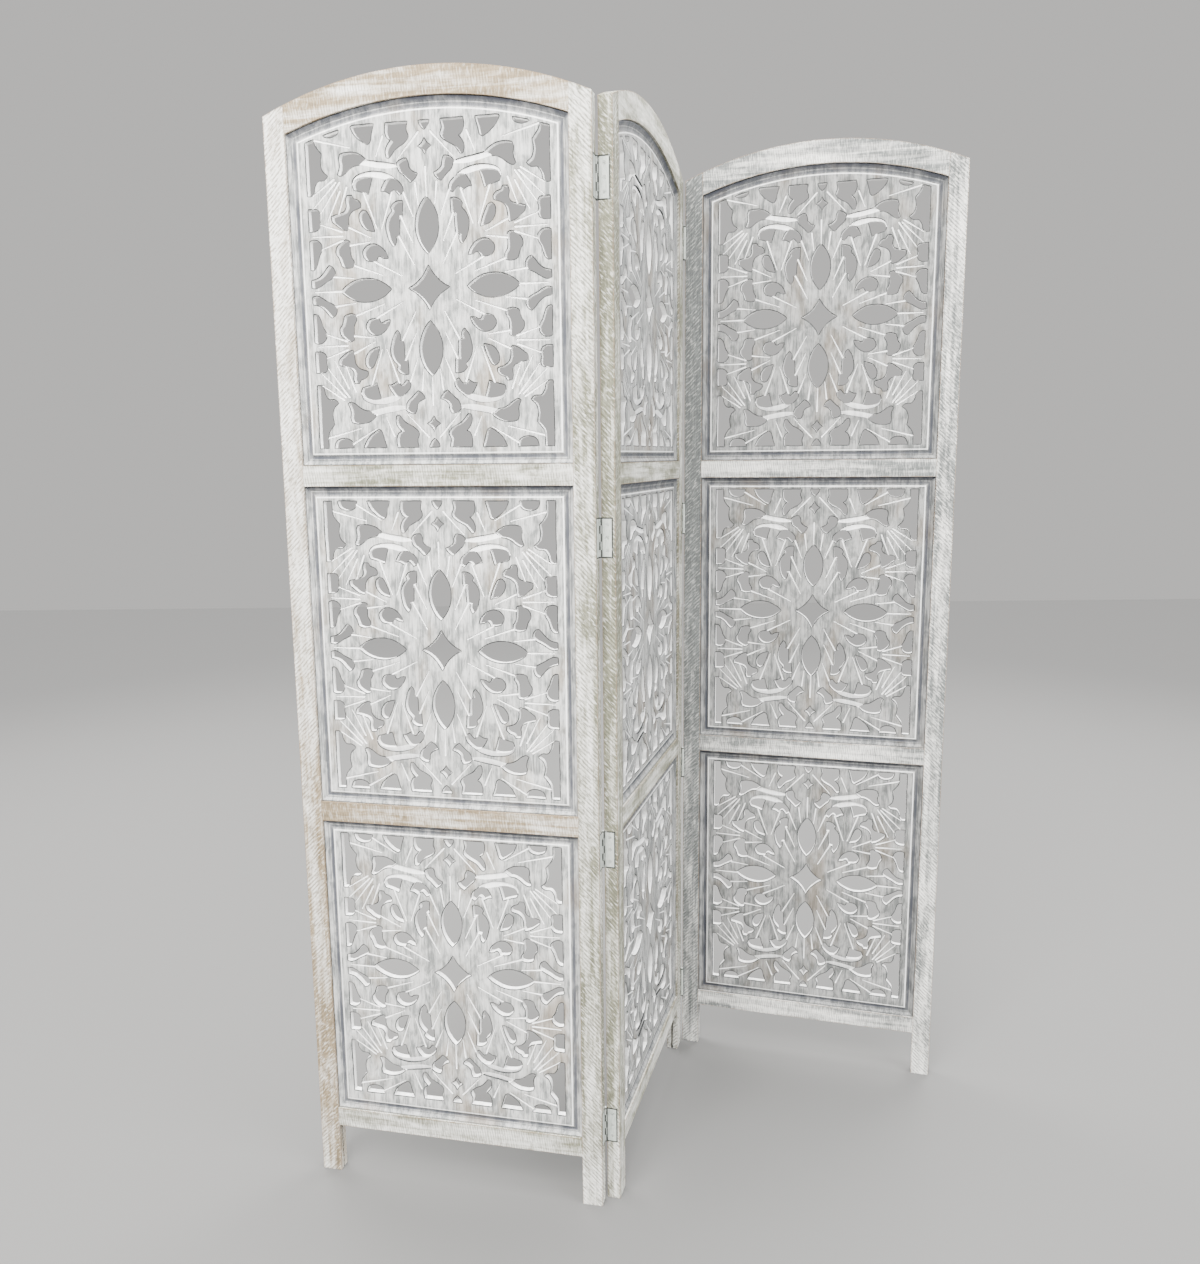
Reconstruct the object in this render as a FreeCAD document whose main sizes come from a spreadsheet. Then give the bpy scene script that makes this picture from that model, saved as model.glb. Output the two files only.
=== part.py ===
import FreeCAD, Part
import math
import os
import Sketcher

# A carved wooden folding screen of three arched leaves, in millimetres, +Z up.
# The origin is on the floor, at the middle of the box round the screen as it stands.
# Each leaf is a frame of two stiles and four rails round three pierced panels.
# Every leaf is drawn in its own frame: X runs along its width from its left edge,
# Y runs from its front face to its back face, and Z runs up from the floor.

SIZES = {
    # the leaf and its frame
    "leaf_width": 508.0,
    "leaf_thickness": 22.0,
    "shoulder_height": 27.0,
    "arch_rise": 53.0,
    "stile_width": 34.0,
    "foot_height": 88.0,
    "bottom_rail_height": 33.0,
    "lower_opening_height": 529.0,
    "lower_rail_height": 33.0,
    "middle_opening_height": 521.0,
    "upper_rail_height": 33.0,
    "top_opening_height": 493.0,
    "inner_arch_rise": 39.0,
    # grooves in the frame, and how loosely tongues and panels fill them
    "groove_width": 5.2,
    "groove_depth": 9.0,
    "tongue_side_clearance": 0.1,
    "tongue_end_clearance": 1.0,
    "panel_side_clearance": 0.2,
    "panel_end_clearance": 1.5,
    # the panels
    "panel_thickness": 10.0,
    "panel_lip": 3.0,
    "bevel_width": 12.0,
    # the plain margins round the fretwork of each panel
    "side_margin": 30.0,
    "lower_panel_low_margin": 35.0,
    "lower_panel_high_margin": 22.0,
    "middle_panel_low_margin": 25.5,
    "middle_panel_high_margin": 23.5,
    "top_panel_low_margin": 27.0,
    "top_panel_crown_margin": 33.0,
    "arch_margin": 23.0,
    # the folds: the gap between two flat leaves, and the turn of each leaf from +X
    "fold_gap": 1.0,
    "left_heading_degrees": -12.0,
    "middle_heading_degrees": 74.0,
    "right_heading_degrees": -16.0,
    # the hinges
    "hinge_plate_length": 62.0,
    "hinge_plate_setback": 4.0,
    "hinge_plate_thickness": 1.4,
    "mortise_clearance": 0.1,
    "knuckle_radius": 2.6,
    "knuckle_clearance": 0.3,
    "knuckle_gap": 0.4,
    "pin_radius": 1.25,
    "pin_running_clearance": 0.08,
    "pin_head_radius": 2.0,
    "pin_head_height": 1.0,
    "first_hinge_above_bottom_rail": 48.0,
    "second_hinge_below_lower_rail": 27.0,
    "third_hinge_below_upper_rail": 80.0,
    "fourth_hinge_below_arch": 85.0,
    # the hinge screws
    "screw_end_distance": 11.0,
    "screw_length": 16.0,
    "screw_shank_radius": 1.4,
    "screw_head_radius": 3.0,
    "screw_clearance": 0.05,
    # how far a cutting tool runs past what it cuts
    "overrun": 2.0,
}

KNUCKLES = 5
SCREWS = 3

# The carver's grid: a quarter of the field is ruled into this many squares.
GRID_ACROSS = 190
GRID_UP = 235

# The openings of one quarter, as shares of the quarter field counted in grid squares from
# the panel's centre. Each outline starts at its first point. Every stroke after it ends
# where the next one starts: one point is a straight cut, two an arc, more a smooth curve.
QUARTER_SHARES = {
    "bud": ((26, 235), [(60, 235)], [(61, 224), (58, 215), (52, 211)],
            [(58, 204), (61, 196), (60, 188)],
            [(56, 187), (46, 198), (32, 206), (25, 214), (28, 224), (26, 235)]),
    "tulip": ((79, 235), [(116, 235)], [(110, 223), (99, 213), (90, 208)],
              [(86, 211), (83, 222), (79, 235)]),
    "lens": ((134, 235), [(166, 235)], [(162, 225), (150, 221), (138, 225), (134, 235)]),
    "corner": ((177, 235), [(190, 235)], [(190, 140)], [(184, 140)],
               [(180, 144), (178, 153), (172, 161), (162, 162), (156, 167)],
               [(164, 174), (167, 185), (165, 199)], [(171, 206), (176, 215), (177, 235)]),
    "edge_bean": ((190, 120), [(190, 89)], [(181, 89)],
                  [(175, 92), (172, 98), (173, 105), (172, 112), (175, 119), (190, 120)]),
    "edge_horn": ((190, 74), [(190, 33)], [(186, 33)],
                  [(182, 36), (179, 43), (176, 52), (171, 61), (171, 68)],
                  [(175, 73), (190, 74)]),
    "edge_wing": ((190, 17), [(190, 7)], [(183, 6)], [(176, 9), (168, 14), (158, 19), (152, 23)],
                  [(153, 33), (160, 38)], [(165, 33), (171, 26), (179, 20), (190, 17)]),
    "bird": ((94, 187), [(102, 193), (112, 197), (125, 198), (134, 196)],
             [(136, 190), (135, 182), (136, 175), (139, 168)],
             [(135, 166), (128, 169), (120, 175), (112, 179), (104, 180)], [(94, 187)]),
    "hook": ((30, 184), [(37, 183), (44, 178)], [(43, 172), (40, 166), (35, 162), (24, 151)],
             [(18, 155), (13, 162)], [(20, 165), (26, 171), (27, 178), (30, 184)]),
    "cap": ((36, 137), [(37, 145), (44, 153), (52, 158), (60, 158)], [(66, 151), (71, 141)],
            [(67, 141), (62, 139), (57, 136)], [(54, 140), (50, 142), (46, 139), (42, 134)],
            [(36, 137)]),
    "sail": ((84, 162), [(92, 163), (103, 162), (112, 159), (116, 152), (114, 145)],
             [(103, 142), (91, 138)], [(88, 150), (84, 162)]),
    "gull": ((119, 137), [(126, 137)], [(128, 130), (127, 122), (131, 115), (139, 112), (152, 109)],
             [(151, 102), (145, 97), (137, 91), (128, 88)],
             [(126, 93), (126, 100), (124, 109), (117, 116), (105, 120)],
             [(105, 125), (110, 130), (116, 132), (119, 137)]),
    "leaf": ((84, 84), [(87, 94), (91, 104), (96, 113), (101, 115)],
             [(106, 111), (107, 103), (104, 95), (97, 88), (84, 84)]),
    "flame": ((38, 125), [(45, 125), (52, 122), (56, 117)],
              [(54, 112), (60, 105), (64, 97), (65, 88), (63, 78), (60, 69), (54, 61)],
              [(50, 68), (51, 75)], [(45, 76)], [(44, 90), (44, 105)], [(39, 105)],
              [(38, 125)]),
    "fish": ((64, 45), [(68, 54), (76, 62), (86, 66), (96, 64), (103, 57), (103, 50), (99, 44)],
             [(91, 42), (83, 42)], [(81, 47), (77, 49), (71, 46), (64, 45)]),
    "comma": ((125, 72), [(131, 74), (139, 70), (146, 63), (147, 55), (143, 49), (139, 37)],
              [(130, 34), (120, 36)], [(120, 43), (124, 50), (125, 58), (125, 72)]),
}
# The openings on the upright centre line, drawn for the upper half.
UPRIGHT_SHARES = {
    "almond": ((0, 49), [(18, 88), (0, 129)], [(-18, 88), (0, 49)]),
    "small_diamond": ((10, 200), [(4, 204), (0, 211)], [(-4, 204), (-10, 200)],
                      [(-4, 196), (0, 189)], [(4, 196), (10, 200)]),
    "notch": ((-8, 235), [(8, 235)], [(5, 228), (0, 223)], [(-5, 228), (-8, 235)]),
}
# The opening on the level centre line, drawn for the right half.
LEVEL_SHARES = {
    "side_almond": ((61, 0), [(101, 17), (142, 0)], [(101, -17), (61, 0)]),
}
# The opening at the panel's centre.
CENTRE_SHARES = {
    "diamond": ((32, 0), [(13, 13), (0, 32)], [(-13, 13), (-32, 0)],
                [(-13, -13), (0, -32)], [(13, -13), (32, 0)]),
}

doc = FreeCAD.newDocument("carved_screen")
sheet = doc.addObject("Spreadsheet::Sheet", "sizes")
for row, (size_name, size_value) in enumerate(SIZES.items(), start=1):
    sheet.set(f"A{row}", size_name)
    sheet.set(f"B{row}", str(size_value))
    sheet.setAlias(f"B{row}", size_name)
doc.recompute()


class Size:
    """A length that knows both its number and the sheet formula it comes from."""

    def __init__(self, number, formula):
        self.number = float(number)
        self.formula = formula

    def join(self, other, sign, number):
        other_formula = other.formula if isinstance(other, Size) else str(other)
        return Size(number, f"({self.formula} {sign} {other_formula})")

    def __add__(self, other):
        return self.join(other, "+", self.number + number_of(other))

    def __sub__(self, other):
        return self.join(other, "-", self.number - number_of(other))

    def __mul__(self, other):
        return self.join(other, "*", self.number * number_of(other))

    def __truediv__(self, other):
        return self.join(other, "/", self.number / number_of(other))

    def __neg__(self):
        return Size(-self.number, f"(0 - {self.formula})")


def number_of(size):
    return size.number if isinstance(size, Size) else size


def root(size):
    return Size(math.sqrt(size.number), f"sqrt({size.formula})")


def cell(name):
    return Size(getattr(sheet, name), f"sizes.{name}")


nothing = Size(0, "0")

# The frame's levels, from the floor up.
leaf_width = cell("leaf_width")
leaf_thickness = cell("leaf_thickness")
stile_width = cell("stile_width")
half_leaf = leaf_width / 2
half_opening = half_leaf - stile_width
right_stile_place = leaf_width - stile_width
middle_plane = leaf_thickness / 2
bottom_rail_place = cell("foot_height")
lower_opening_place = bottom_rail_place + cell("bottom_rail_height")
lower_rail_place = lower_opening_place + cell("lower_opening_height")
middle_opening_place = lower_rail_place + cell("lower_rail_height")
upper_rail_place = middle_opening_place + cell("middle_opening_height")
top_opening_place = upper_rail_place + cell("upper_rail_height")
spring_height = top_opening_place + cell("top_opening_height")
side_height = spring_height + cell("shoulder_height")

# What fills the grooves.
tongue_length = cell("groove_depth") - cell("tongue_end_clearance")
tongue_thickness = cell("groove_width") - cell("tongue_side_clearance") * 2
panel_insertion = cell("groove_depth") - cell("panel_end_clearance")
panel_edge_thickness = cell("groove_width") - cell("panel_side_clearance") * 2


def arch_radius(half_span, rise):
    return (half_span * half_span + rise * rise) / (rise * 2)


outer_radius = arch_radius(half_leaf, cell("arch_rise"))
outer_centre = side_height + cell("arch_rise") - outer_radius
inner_radius = arch_radius(half_opening, cell("inner_arch_rise"))
inner_crown = spring_height + cell("inner_arch_rise")
inner_centre = inner_crown - inner_radius


def height_on_arch(centre, radius, from_middle):
    return centre + root(radius * radius - from_middle * from_middle)


def bind(target, property_name, size):
    target.setExpression(property_name, size.formula)


def sketch_on(body, plane_role, name, depth=nothing):
    """A sketch on one of the body's own planes, set back from it along +Y or up along +Z."""
    plane = [item for item in body.Origin.OriginFeatures if item.Role == plane_role][0]
    sketch = body.newObject("Sketcher::SketchObject", name)
    sketch.AttachmentSupport = (plane, [""])
    sketch.MapMode = "FlatFace"
    lift = -depth if plane_role == "XZ_Plane" else depth
    bind(sketch, "AttachmentOffset.Base.z", lift)
    return sketch


def fix_point(sketch, edge, end, across, along):
    """Ties a point of a sketch to its distances from the sketch's two axes."""
    for kind, axis, size in (("DistanceX", -2, across), ("DistanceY", -1, along)):
        if size.number == 0:
            sketch.addConstraint(Sketcher.Constraint("PointOnObject", edge, end, axis))
        else:
            index = sketch.addConstraint(
                Sketcher.Constraint(kind, -1, 1, edge, end, size.number))
            bind(sketch, f"Constraints[{index}]", size)


def near_end(sketch, edge, corner):
    """Which end of an edge, 1 or 2, lies at a corner."""
    gaps = [sketch.getPoint(edge, end).distanceToPoint(corner) for end in (1, 2)]
    return 1 + gaps.index(min(gaps))


def draw_outline(sketch, corners, arcs=None):
    """A closed outline through corners. arcs gives the centre height and the radius of each
    edge that is an arch round the leaf's middle."""
    arcs = arcs or {}
    points = [FreeCAD.Vector(across.number, along.number, 0) for across, along in corners]
    first = sketch.GeometryCount
    for place, start in enumerate(points):
        end = points[(place + 1) % len(points)]
        if place in arcs:
            centre = FreeCAD.Vector(half_leaf.number, arcs[place][0].number, 0)
            outwards = ((start + end) / 2 - centre).normalize()
            crown = centre + outwards * arcs[place][1].number
            sketch.addGeometry(Part.Arc(start, crown, end), False)
        else:
            sketch.addGeometry(Part.LineSegment(start, end), False)
    for place, start in enumerate(points):
        edge = first + place
        before = first + (place - 1) % len(points)
        own_end = near_end(sketch, edge, start)
        before_end = near_end(sketch, before, start)
        sketch.addConstraint(
            Sketcher.Constraint("Coincident", before, before_end, edge, own_end))
        fix_point(sketch, edge, own_end, *corners[place])
    for place, (_, radius) in arcs.items():
        index = sketch.addConstraint(
            Sketcher.Constraint("Radius", first + place, radius.number))
        bind(sketch, f"Constraints[{index}]", radius)


def box_corners(left, low, right, high):
    return [(left, low), (right, low), (right, high), (left, high)]


def cut_or_add(kind, body, sketch, name, length, both_ways, backwards):
    feature = body.newObject(kind, name)
    feature.Profile = sketch
    bind(feature, "Length", length)
    feature.SideType = "Symmetric" if both_ways else "One side"
    feature.Reversed = backwards
    return feature


def pad(body, sketch, name, length, both_ways=False, backwards=False):
    return cut_or_add("PartDesign::Pad", body, sketch, name, length, both_ways, backwards)


def pocket(body, sketch, name, length, both_ways=False, backwards=False):
    return cut_or_add("PartDesign::Pocket", body, sketch, name, length, both_ways, backwards)


# The four hinges of a fold, from the floor up, and the screws of one hinge plate.
hinge_heights = [bottom_rail_place + cell("first_hinge_above_bottom_rail"),
                 lower_rail_place - cell("second_hinge_below_lower_rail"),
                 upper_rail_place - cell("third_hinge_below_upper_rail"),
                 spring_height - cell("fourth_hinge_below_arch")]
screw_steps = [step - (SCREWS - 1) // 2 for step in range(SCREWS)]
half_plate = cell("hinge_plate_length") / 2
plate_width = leaf_thickness - cell("hinge_plate_setback")
screw_spacing = half_plate - cell("screw_end_distance")
pivot_offset = cell("knuckle_radius") + cell("knuckle_clearance")


def cut_hinge_seats(body, label, on_left, fold_face):
    """Mortises for the hinge plates and holes for their screws, in a stile's outer edge."""
    edge_place = nothing if on_left else leaf_width
    mortise_width = plate_width + cell("mortise_clearance")
    if fold_face == "back":
        start, end = leaf_thickness - mortise_width, leaf_thickness + cell("overrun")
        screw_place = leaf_thickness - plate_width / 2
    else:
        start, end = -cell("overrun"), mortise_width
        screw_place = plate_width / 2
    seats = sketch_on(body, "YZ_Plane", label + "_mortise_outlines", edge_place)
    holes = sketch_on(body, "YZ_Plane", label + "_screw_places", edge_place)
    for height in hinge_heights:
        half_seat = half_plate + cell("mortise_clearance")
        draw_outline(seats, box_corners(start, height - half_seat, end, height + half_seat))
        for step in screw_steps:
            draw_circle(holes, screw_place, height + screw_spacing * step,
                        cell("screw_shank_radius") + cell("screw_clearance"))
    pocket(body, seats, label + "_mortises", cell("hinge_plate_thickness"), backwards=on_left)
    pocket(body, holes, label + "_screw_holes", cell("screw_length") + cell("screw_clearance"),
           backwards=on_left)


def draw_circle(sketch, across, along, radius):
    centre = FreeCAD.Vector(across.number, along.number, 0)
    circle = sketch.addGeometry(Part.Circle(centre, FreeCAD.Vector(0, 0, 1), radius.number), False)
    fix_point(sketch, circle, 3, across, along)
    index = sketch.addConstraint(Sketcher.Constraint("Radius", circle, radius.number))
    bind(sketch, f"Constraints[{index}]", radius)


def stile(label, on_left, fold_face):
    """An upright with the arch cut on its top, a groove down its inner edge and, where it
    carries hinges, their mortises and screw holes in its outer edge."""
    body = doc.addObject("PartDesign::Body", label)
    left = nothing if on_left else right_stile_place
    right = stile_width if on_left else leaf_width
    inner_top = height_on_arch(outer_centre, outer_radius, half_opening)
    left_top, right_top = (side_height, inner_top) if on_left else (inner_top, side_height)
    outline = sketch_on(body, "XZ_Plane", label + "_outline")
    corners = [(left, nothing), (right, nothing), (right, right_top), (left, left_top)]
    draw_outline(outline, corners, {2: (outer_centre, outer_radius)})
    pad(body, outline, label + "_bar", leaf_thickness, backwards=True)
    groove = sketch_on(body, "XY_Plane", label + "_groove_section")
    groove_start = right - cell("groove_depth") if on_left else left
    groove_end = right if on_left else left + cell("groove_depth")
    half_groove = cell("groove_width") / 2
    draw_outline(groove, box_corners(groove_start, middle_plane - half_groove,
                                     groove_end, middle_plane + half_groove))
    pocket(body, groove, label + "_groove", inner_top + cell("overrun"), backwards=True)
    if fold_face:
        cut_hinge_seats(body, label, on_left, fold_face)
    return body


def rail(label, low, height, groove_above, groove_below):
    """A straight rail with a tongue at each end and a groove in each edge that meets a panel."""
    body = doc.addObject("PartDesign::Body", label)
    high = low + height
    tongue_start = stile_width - tongue_length
    tongue_end = right_stile_place + tongue_length
    tongue = sketch_on(body, "XZ_Plane", label + "_tongue_outline", middle_plane)
    draw_outline(tongue, box_corners(tongue_start, low, tongue_end, high))
    pad(body, tongue, label + "_tongues", tongue_thickness, both_ways=True)
    bar = sketch_on(body, "XZ_Plane", label + "_bar_outline")
    draw_outline(bar, box_corners(stile_width, low, right_stile_place, high))
    pad(body, bar, label + "_bar", leaf_thickness, backwards=True)
    grooves = sketch_on(body, "XZ_Plane", label + "_groove_outline", middle_plane)
    reach = cell("overrun")
    if groove_above:
        draw_outline(grooves, box_corners(tongue_start - reach, high - cell("groove_depth"),
                                          tongue_end + reach, high + reach))
    if groove_below:
        draw_outline(grooves, box_corners(tongue_start - reach, low - reach,
                                          tongue_end + reach, low + cell("groove_depth")))
    pocket(body, grooves, label + "_grooves", cell("groove_width"), both_ways=True)
    return body


def arched_rail(label):
    """The top rail: an arch above and below, tongues at its ends, a groove under it."""
    body = doc.addObject("PartDesign::Body", label)
    half_tongues = half_opening + tongue_length
    tongue_left = half_leaf - half_tongues
    tongue_right = half_leaf + half_tongues
    groove_radius = inner_radius + cell("groove_depth")
    tongue_top = height_on_arch(outer_centre, outer_radius, half_tongues)
    tongue_low = height_on_arch(inner_centre, groove_radius, half_tongues)
    tongue = sketch_on(body, "XZ_Plane", label + "_tongue_outline", middle_plane)
    corners = [(tongue_left, tongue_low), (tongue_right, tongue_low),
               (tongue_right, tongue_top), (tongue_left, tongue_top)]
    draw_outline(tongue, corners, {0: (inner_centre, groove_radius),
                                   2: (outer_centre, outer_radius)})
    pad(body, tongue, label + "_tongues", tongue_thickness, both_ways=True)
    bar_top = height_on_arch(outer_centre, outer_radius, half_opening)
    bar = sketch_on(body, "XZ_Plane", label + "_bar_outline")
    corners = [(stile_width, spring_height), (right_stile_place, spring_height),
               (right_stile_place, bar_top), (stile_width, bar_top)]
    draw_outline(bar, corners, {0: (inner_centre, inner_radius),
                                2: (outer_centre, outer_radius)})
    pad(body, bar, label + "_bar", leaf_thickness, backwards=True)
    groove = sketch_on(body, "XZ_Plane", label + "_groove_outline", middle_plane)
    groove_low = spring_height - cell("overrun")
    groove_high = height_on_arch(inner_centre, groove_radius, half_opening)
    corners = box_corners(stile_width, groove_low, right_stile_place, groove_high)
    draw_outline(groove, corners, {2: (inner_centre, groove_radius)})
    pocket(body, groove, label + "_groove", cell("groove_width"), both_ways=True)
    return body


def panel_outline(sketch, low, high, inset, arched):
    """A panel's outline, inset from the opening that the frame leaves for it."""
    left, right = stile_width + inset, right_stile_place - inset
    arcs = {}
    top = high - inset
    if arched:
        radius = inner_radius - inset
        top = height_on_arch(inner_centre, radius, half_opening - inset)
        arcs = {2: (inner_centre, radius)}
    draw_outline(sketch, box_corners(left, low + inset, right, top), arcs)


def panel_border(label, low, high, arched):
    """The plain border of a panel: a thin edge for the grooves, and a bevel on both faces
    that rises to the field. The field itself is left out."""
    body = doc.addObject("PartDesign::Body", label)
    edge = sketch_on(body, "XZ_Plane", label + "_edge_outline", middle_plane)
    panel_outline(edge, low, high, -panel_insertion, arched)
    pad(body, edge, label + "_edge", panel_edge_thickness, both_ways=True)
    half_edge, half_field = panel_edge_thickness / 2, cell("panel_thickness") / 2
    field_inset = cell("panel_lip") + cell("bevel_width")
    for face, foot, crown in (("front", middle_plane - half_edge, middle_plane - half_field),
                              ("back", middle_plane + half_edge, middle_plane + half_field)):
        bevel_foot = sketch_on(body, "XZ_Plane", f"{label}_{face}_bevel_foot", foot)
        panel_outline(bevel_foot, low, high, cell("panel_lip"), arched)
        bevel_crown = sketch_on(body, "XZ_Plane", f"{label}_{face}_bevel_crown", crown)
        panel_outline(bevel_crown, low, high, field_inset, arched)
        bevel = body.newObject("PartDesign::AdditiveLoft", f"{label}_{face}_bevel")
        bevel.Profile = bevel_foot
        bevel.Sections = [bevel_crown]
        bevel.Ruled = True
    field = sketch_on(body, "XZ_Plane", label + "_field_outline", middle_plane)
    panel_outline(field, low, high, field_inset, arched)
    pocket(body, field, label + "_field_space", leaf_thickness, both_ways=True)
    return body, field


half_field_width = half_opening.number - sheet.side_margin


def opening_face(outline, field_low, field_high, across_sign, up_sign):
    """The flat face of one opening of a field, on the leaf's middle plane."""
    centre_height, half_height = (field_low + field_high) / 2, (field_high - field_low) / 2

    def place(point):
        across, up = point
        return FreeCAD.Vector(half_leaf.number + across_sign * across * half_field_width / GRID_ACROSS,
                              middle_plane.number,
                              centre_height + up_sign * up * half_height / GRID_UP)
    edges = []
    last = place(outline[0])
    for stroke in outline[1:]:
        points = [last] + [place(point) for point in stroke]
        if len(stroke) == 1:
            curve = Part.LineSegment(*points)
        elif len(stroke) == 2:
            curve = Part.Arc(*points)
        else:
            curve = Part.BSplineCurve()
            curve.interpolate(points)
        edges.append(curve.toShape())
        last = points[-1]
    return Part.Face(Part.Wire(edges))


def fretwork_openings(field_low, field_high, arched):
    """The faces of all the openings of one panel, kept below the margin under an arch."""
    field = (field_low.number, field_high.number)
    both = (1, -1)
    faces = [opening_face(outline, *field, across_sign, up_sign)
             for outline in QUARTER_SHARES.values() for across_sign in both for up_sign in both]
    faces += [opening_face(outline, *field, 1, up_sign)
              for outline in UPRIGHT_SHARES.values() for up_sign in both]
    faces += [opening_face(outline, *field, across_sign, 1)
              for outline in LEVEL_SHARES.values() for across_sign in both]
    faces += [opening_face(outline, *field, 1, 1) for outline in CENTRE_SHARES.values()]
    if not arched:
        return faces
    centre = FreeCAD.Vector(half_leaf.number, middle_plane.number, inner_centre.number)
    reach = inner_radius.number - sheet.arch_margin
    rim = Part.makeCircle(reach, centre, FreeCAD.Vector(0, 1, 0))
    below_arch = Part.Face(Part.Wire(rim))
    kept = []
    for face in faces:
        corners = [face.BoundBox.getPoint(number) for number in range(8)]
        inside = all(corner.distanceToPoint(centre) < reach for corner in corners)
        kept += [face] if inside else face.common(below_arch).Faces
    return kept


def pierced_panel(label, low, high, field_low, field_high, arched=False):
    """A panel as it is made: the border, and in it a plate with every opening sawn through."""
    border, field = panel_border(label + "_border", low, high, arched)
    field.recompute()
    openings = fretwork_openings(field_low, field_high, arched)
    drawing = doc.addObject("Part::Feature", label + "_fretwork_drawing")
    outlines = field.Shape.Wires + [face.OuterWire for face in openings]
    drawing.Shape = Part.makeFace(outlines, "Part::FaceMakerBullseye")
    plate = doc.addObject("Part::Extrusion", label + "_plate")
    plate.Base = drawing
    plate.DirMode = "Normal"
    plate.Symmetric = True
    plate.Solid = True
    bind(plate, "LengthFwd", cell("panel_thickness"))
    return fuse(label, [border, plate])


def another(label, pattern):
    """One more piece made to the same pattern."""
    body = doc.addObject("PartDesign::Body", label)
    body.BaseFeature = pattern
    return body


def box(name, corner, length, width, height):
    solid = doc.addObject("Part::Box", name)
    for property_name, size in (("Length", length), ("Width", width), ("Height", height),
                                ("Placement.Base.x", corner[0]),
                                ("Placement.Base.y", corner[1]),
                                ("Placement.Base.z", corner[2])):
        bind(solid, property_name, size)
    return solid


def cylinder(name, centre, radius, height):
    solid = doc.addObject("Part::Cylinder", name)
    for property_name, size in (("Radius", radius), ("Height", height),
                                ("Placement.Base.x", centre[0]),
                                ("Placement.Base.y", centre[1]),
                                ("Placement.Base.z", centre[2])):
        bind(solid, property_name, size)
    return solid


def fuse(name, solids):
    group = doc.addObject("Part::MultiFuse", name)
    group.Shapes = solids
    return group


def screw_solid(name, axis_turn, centre, clearance):
    """A countersunk head with its shank, along the turned Z axis, head face at its centre."""
    head = doc.addObject("Part::Cone", name + "_head")
    bind(head, "Radius1", cell("screw_head_radius") + clearance)
    bind(head, "Radius2", cell("screw_shank_radius") + clearance)
    bind(head, "Height", cell("hinge_plate_thickness"))
    shank = doc.addObject("Part::Cylinder", name + "_shank")
    bind(shank, "Radius", cell("screw_shank_radius") + clearance)
    bind(shank, "Height", cell("screw_length"))
    for piece in (head, shank):
        piece.Placement = FreeCAD.Placement(FreeCAD.Vector(), axis_turn)
        for axis, size in zip("xyz", centre):
            bind(piece, f"Placement.Base.{axis}", size)
    return [head, shank]


# A hinge is drawn round its pin: the pin's axis is Z, its leaf lies at X above half the fold
# gap, and that leaf's face lies at Y below the pivot's offset.
half_gap = cell("fold_gap") / 2
plate_start = -(pivot_offset + plate_width)
screw_line = -(pivot_offset + plate_width / 2)
along_x = FreeCAD.Rotation(FreeCAD.Vector(0, 1, 0), 90)


def hinge_plate(label, own_knuckles, bore_clearance):
    """A flat plate with its rolled knuckles, bored for the pin and sunk for three screws."""
    thickness = cell("hinge_plate_thickness")
    solids = [box(label + "_flat", (half_gap, plate_start, -half_plate), thickness,
                  plate_width, cell("hinge_plate_length"))]
    step = cell("hinge_plate_length") / KNUCKLES
    for knuckle in own_knuckles:
        low = step * knuckle - half_plate
        height = step
        if knuckle > 0:
            low, height = low + cell("knuckle_gap") / 2, height - cell("knuckle_gap") / 2
        if knuckle < KNUCKLES - 1:
            height = height - cell("knuckle_gap") / 2
        solids.append(box(f"{label}_strap_{knuckle + 1}", (half_gap, -pivot_offset, low),
                          thickness, pivot_offset, height))
        solids.append(cylinder(f"{label}_knuckle_{knuckle + 1}", (nothing, nothing, low),
                               cell("knuckle_radius"), height))
    reach = half_plate + cell("overrun")
    cuts = [cylinder(label + "_bore", (nothing, nothing, -reach),
                     cell("pin_radius") + bore_clearance, reach * 2)]
    for order, screw_step in enumerate(screw_steps, start=1):
        cuts += screw_solid(f"{label}_screw_seat_{order}", along_x,
                            (half_gap, screw_line, screw_spacing * screw_step),
                            cell("screw_clearance"))
    plate = doc.addObject("Part::Cut", label)
    plate.Base = fuse(label + "_blank", solids)
    plate.Tool = fuse(label + "_cuts", cuts)
    return plate


def hinge_pin(label):
    """A straight pin with a flat head that sits on the top knuckle."""
    shank = cylinder(label + "_shank", (nothing, nothing, -half_plate), cell("pin_radius"),
                     cell("hinge_plate_length"))
    head = cylinder(label + "_head", (nothing, nothing, half_plate), cell("pin_head_radius"),
                    cell("pin_head_height"))
    return fuse(label, [shank, head])


def hinge_screws(label, up):
    """The screws of one row of hinge plates, drawn round the fold's axis. up is -1 where the
    row is turned over when it is placed."""
    solids = []
    for hinge, height in enumerate(hinge_heights, start=1):
        for order, screw_step in enumerate(screw_steps, start=1):
            screw_height = height * up + screw_spacing * screw_step
            solids += screw_solid(f"{label}_{hinge}_{order}", along_x,
                                  (half_gap, screw_line, screw_height), nothing)
    return fuse(label, solids)


# Where the leaves stand. The middle leaf is placed first, and the others hang on its hinges.
vertical = FreeCAD.Vector(0, 0, 1)
gap_half, offset, width = half_gap.number, pivot_offset.number, leaf_width.number
thickness = leaf_thickness.number
back_pivot, front_pivot = thickness + offset, -offset


def turned(degrees):
    return FreeCAD.Rotation(vertical, degrees)


def hang(heading, own_pivot, pivot):
    """The placement that turns a leaf to its heading with its own pivot on the fold's axis."""
    turn = turned(heading)
    return FreeCAD.Placement(pivot - turn.multVec(own_pivot), turn)


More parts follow.
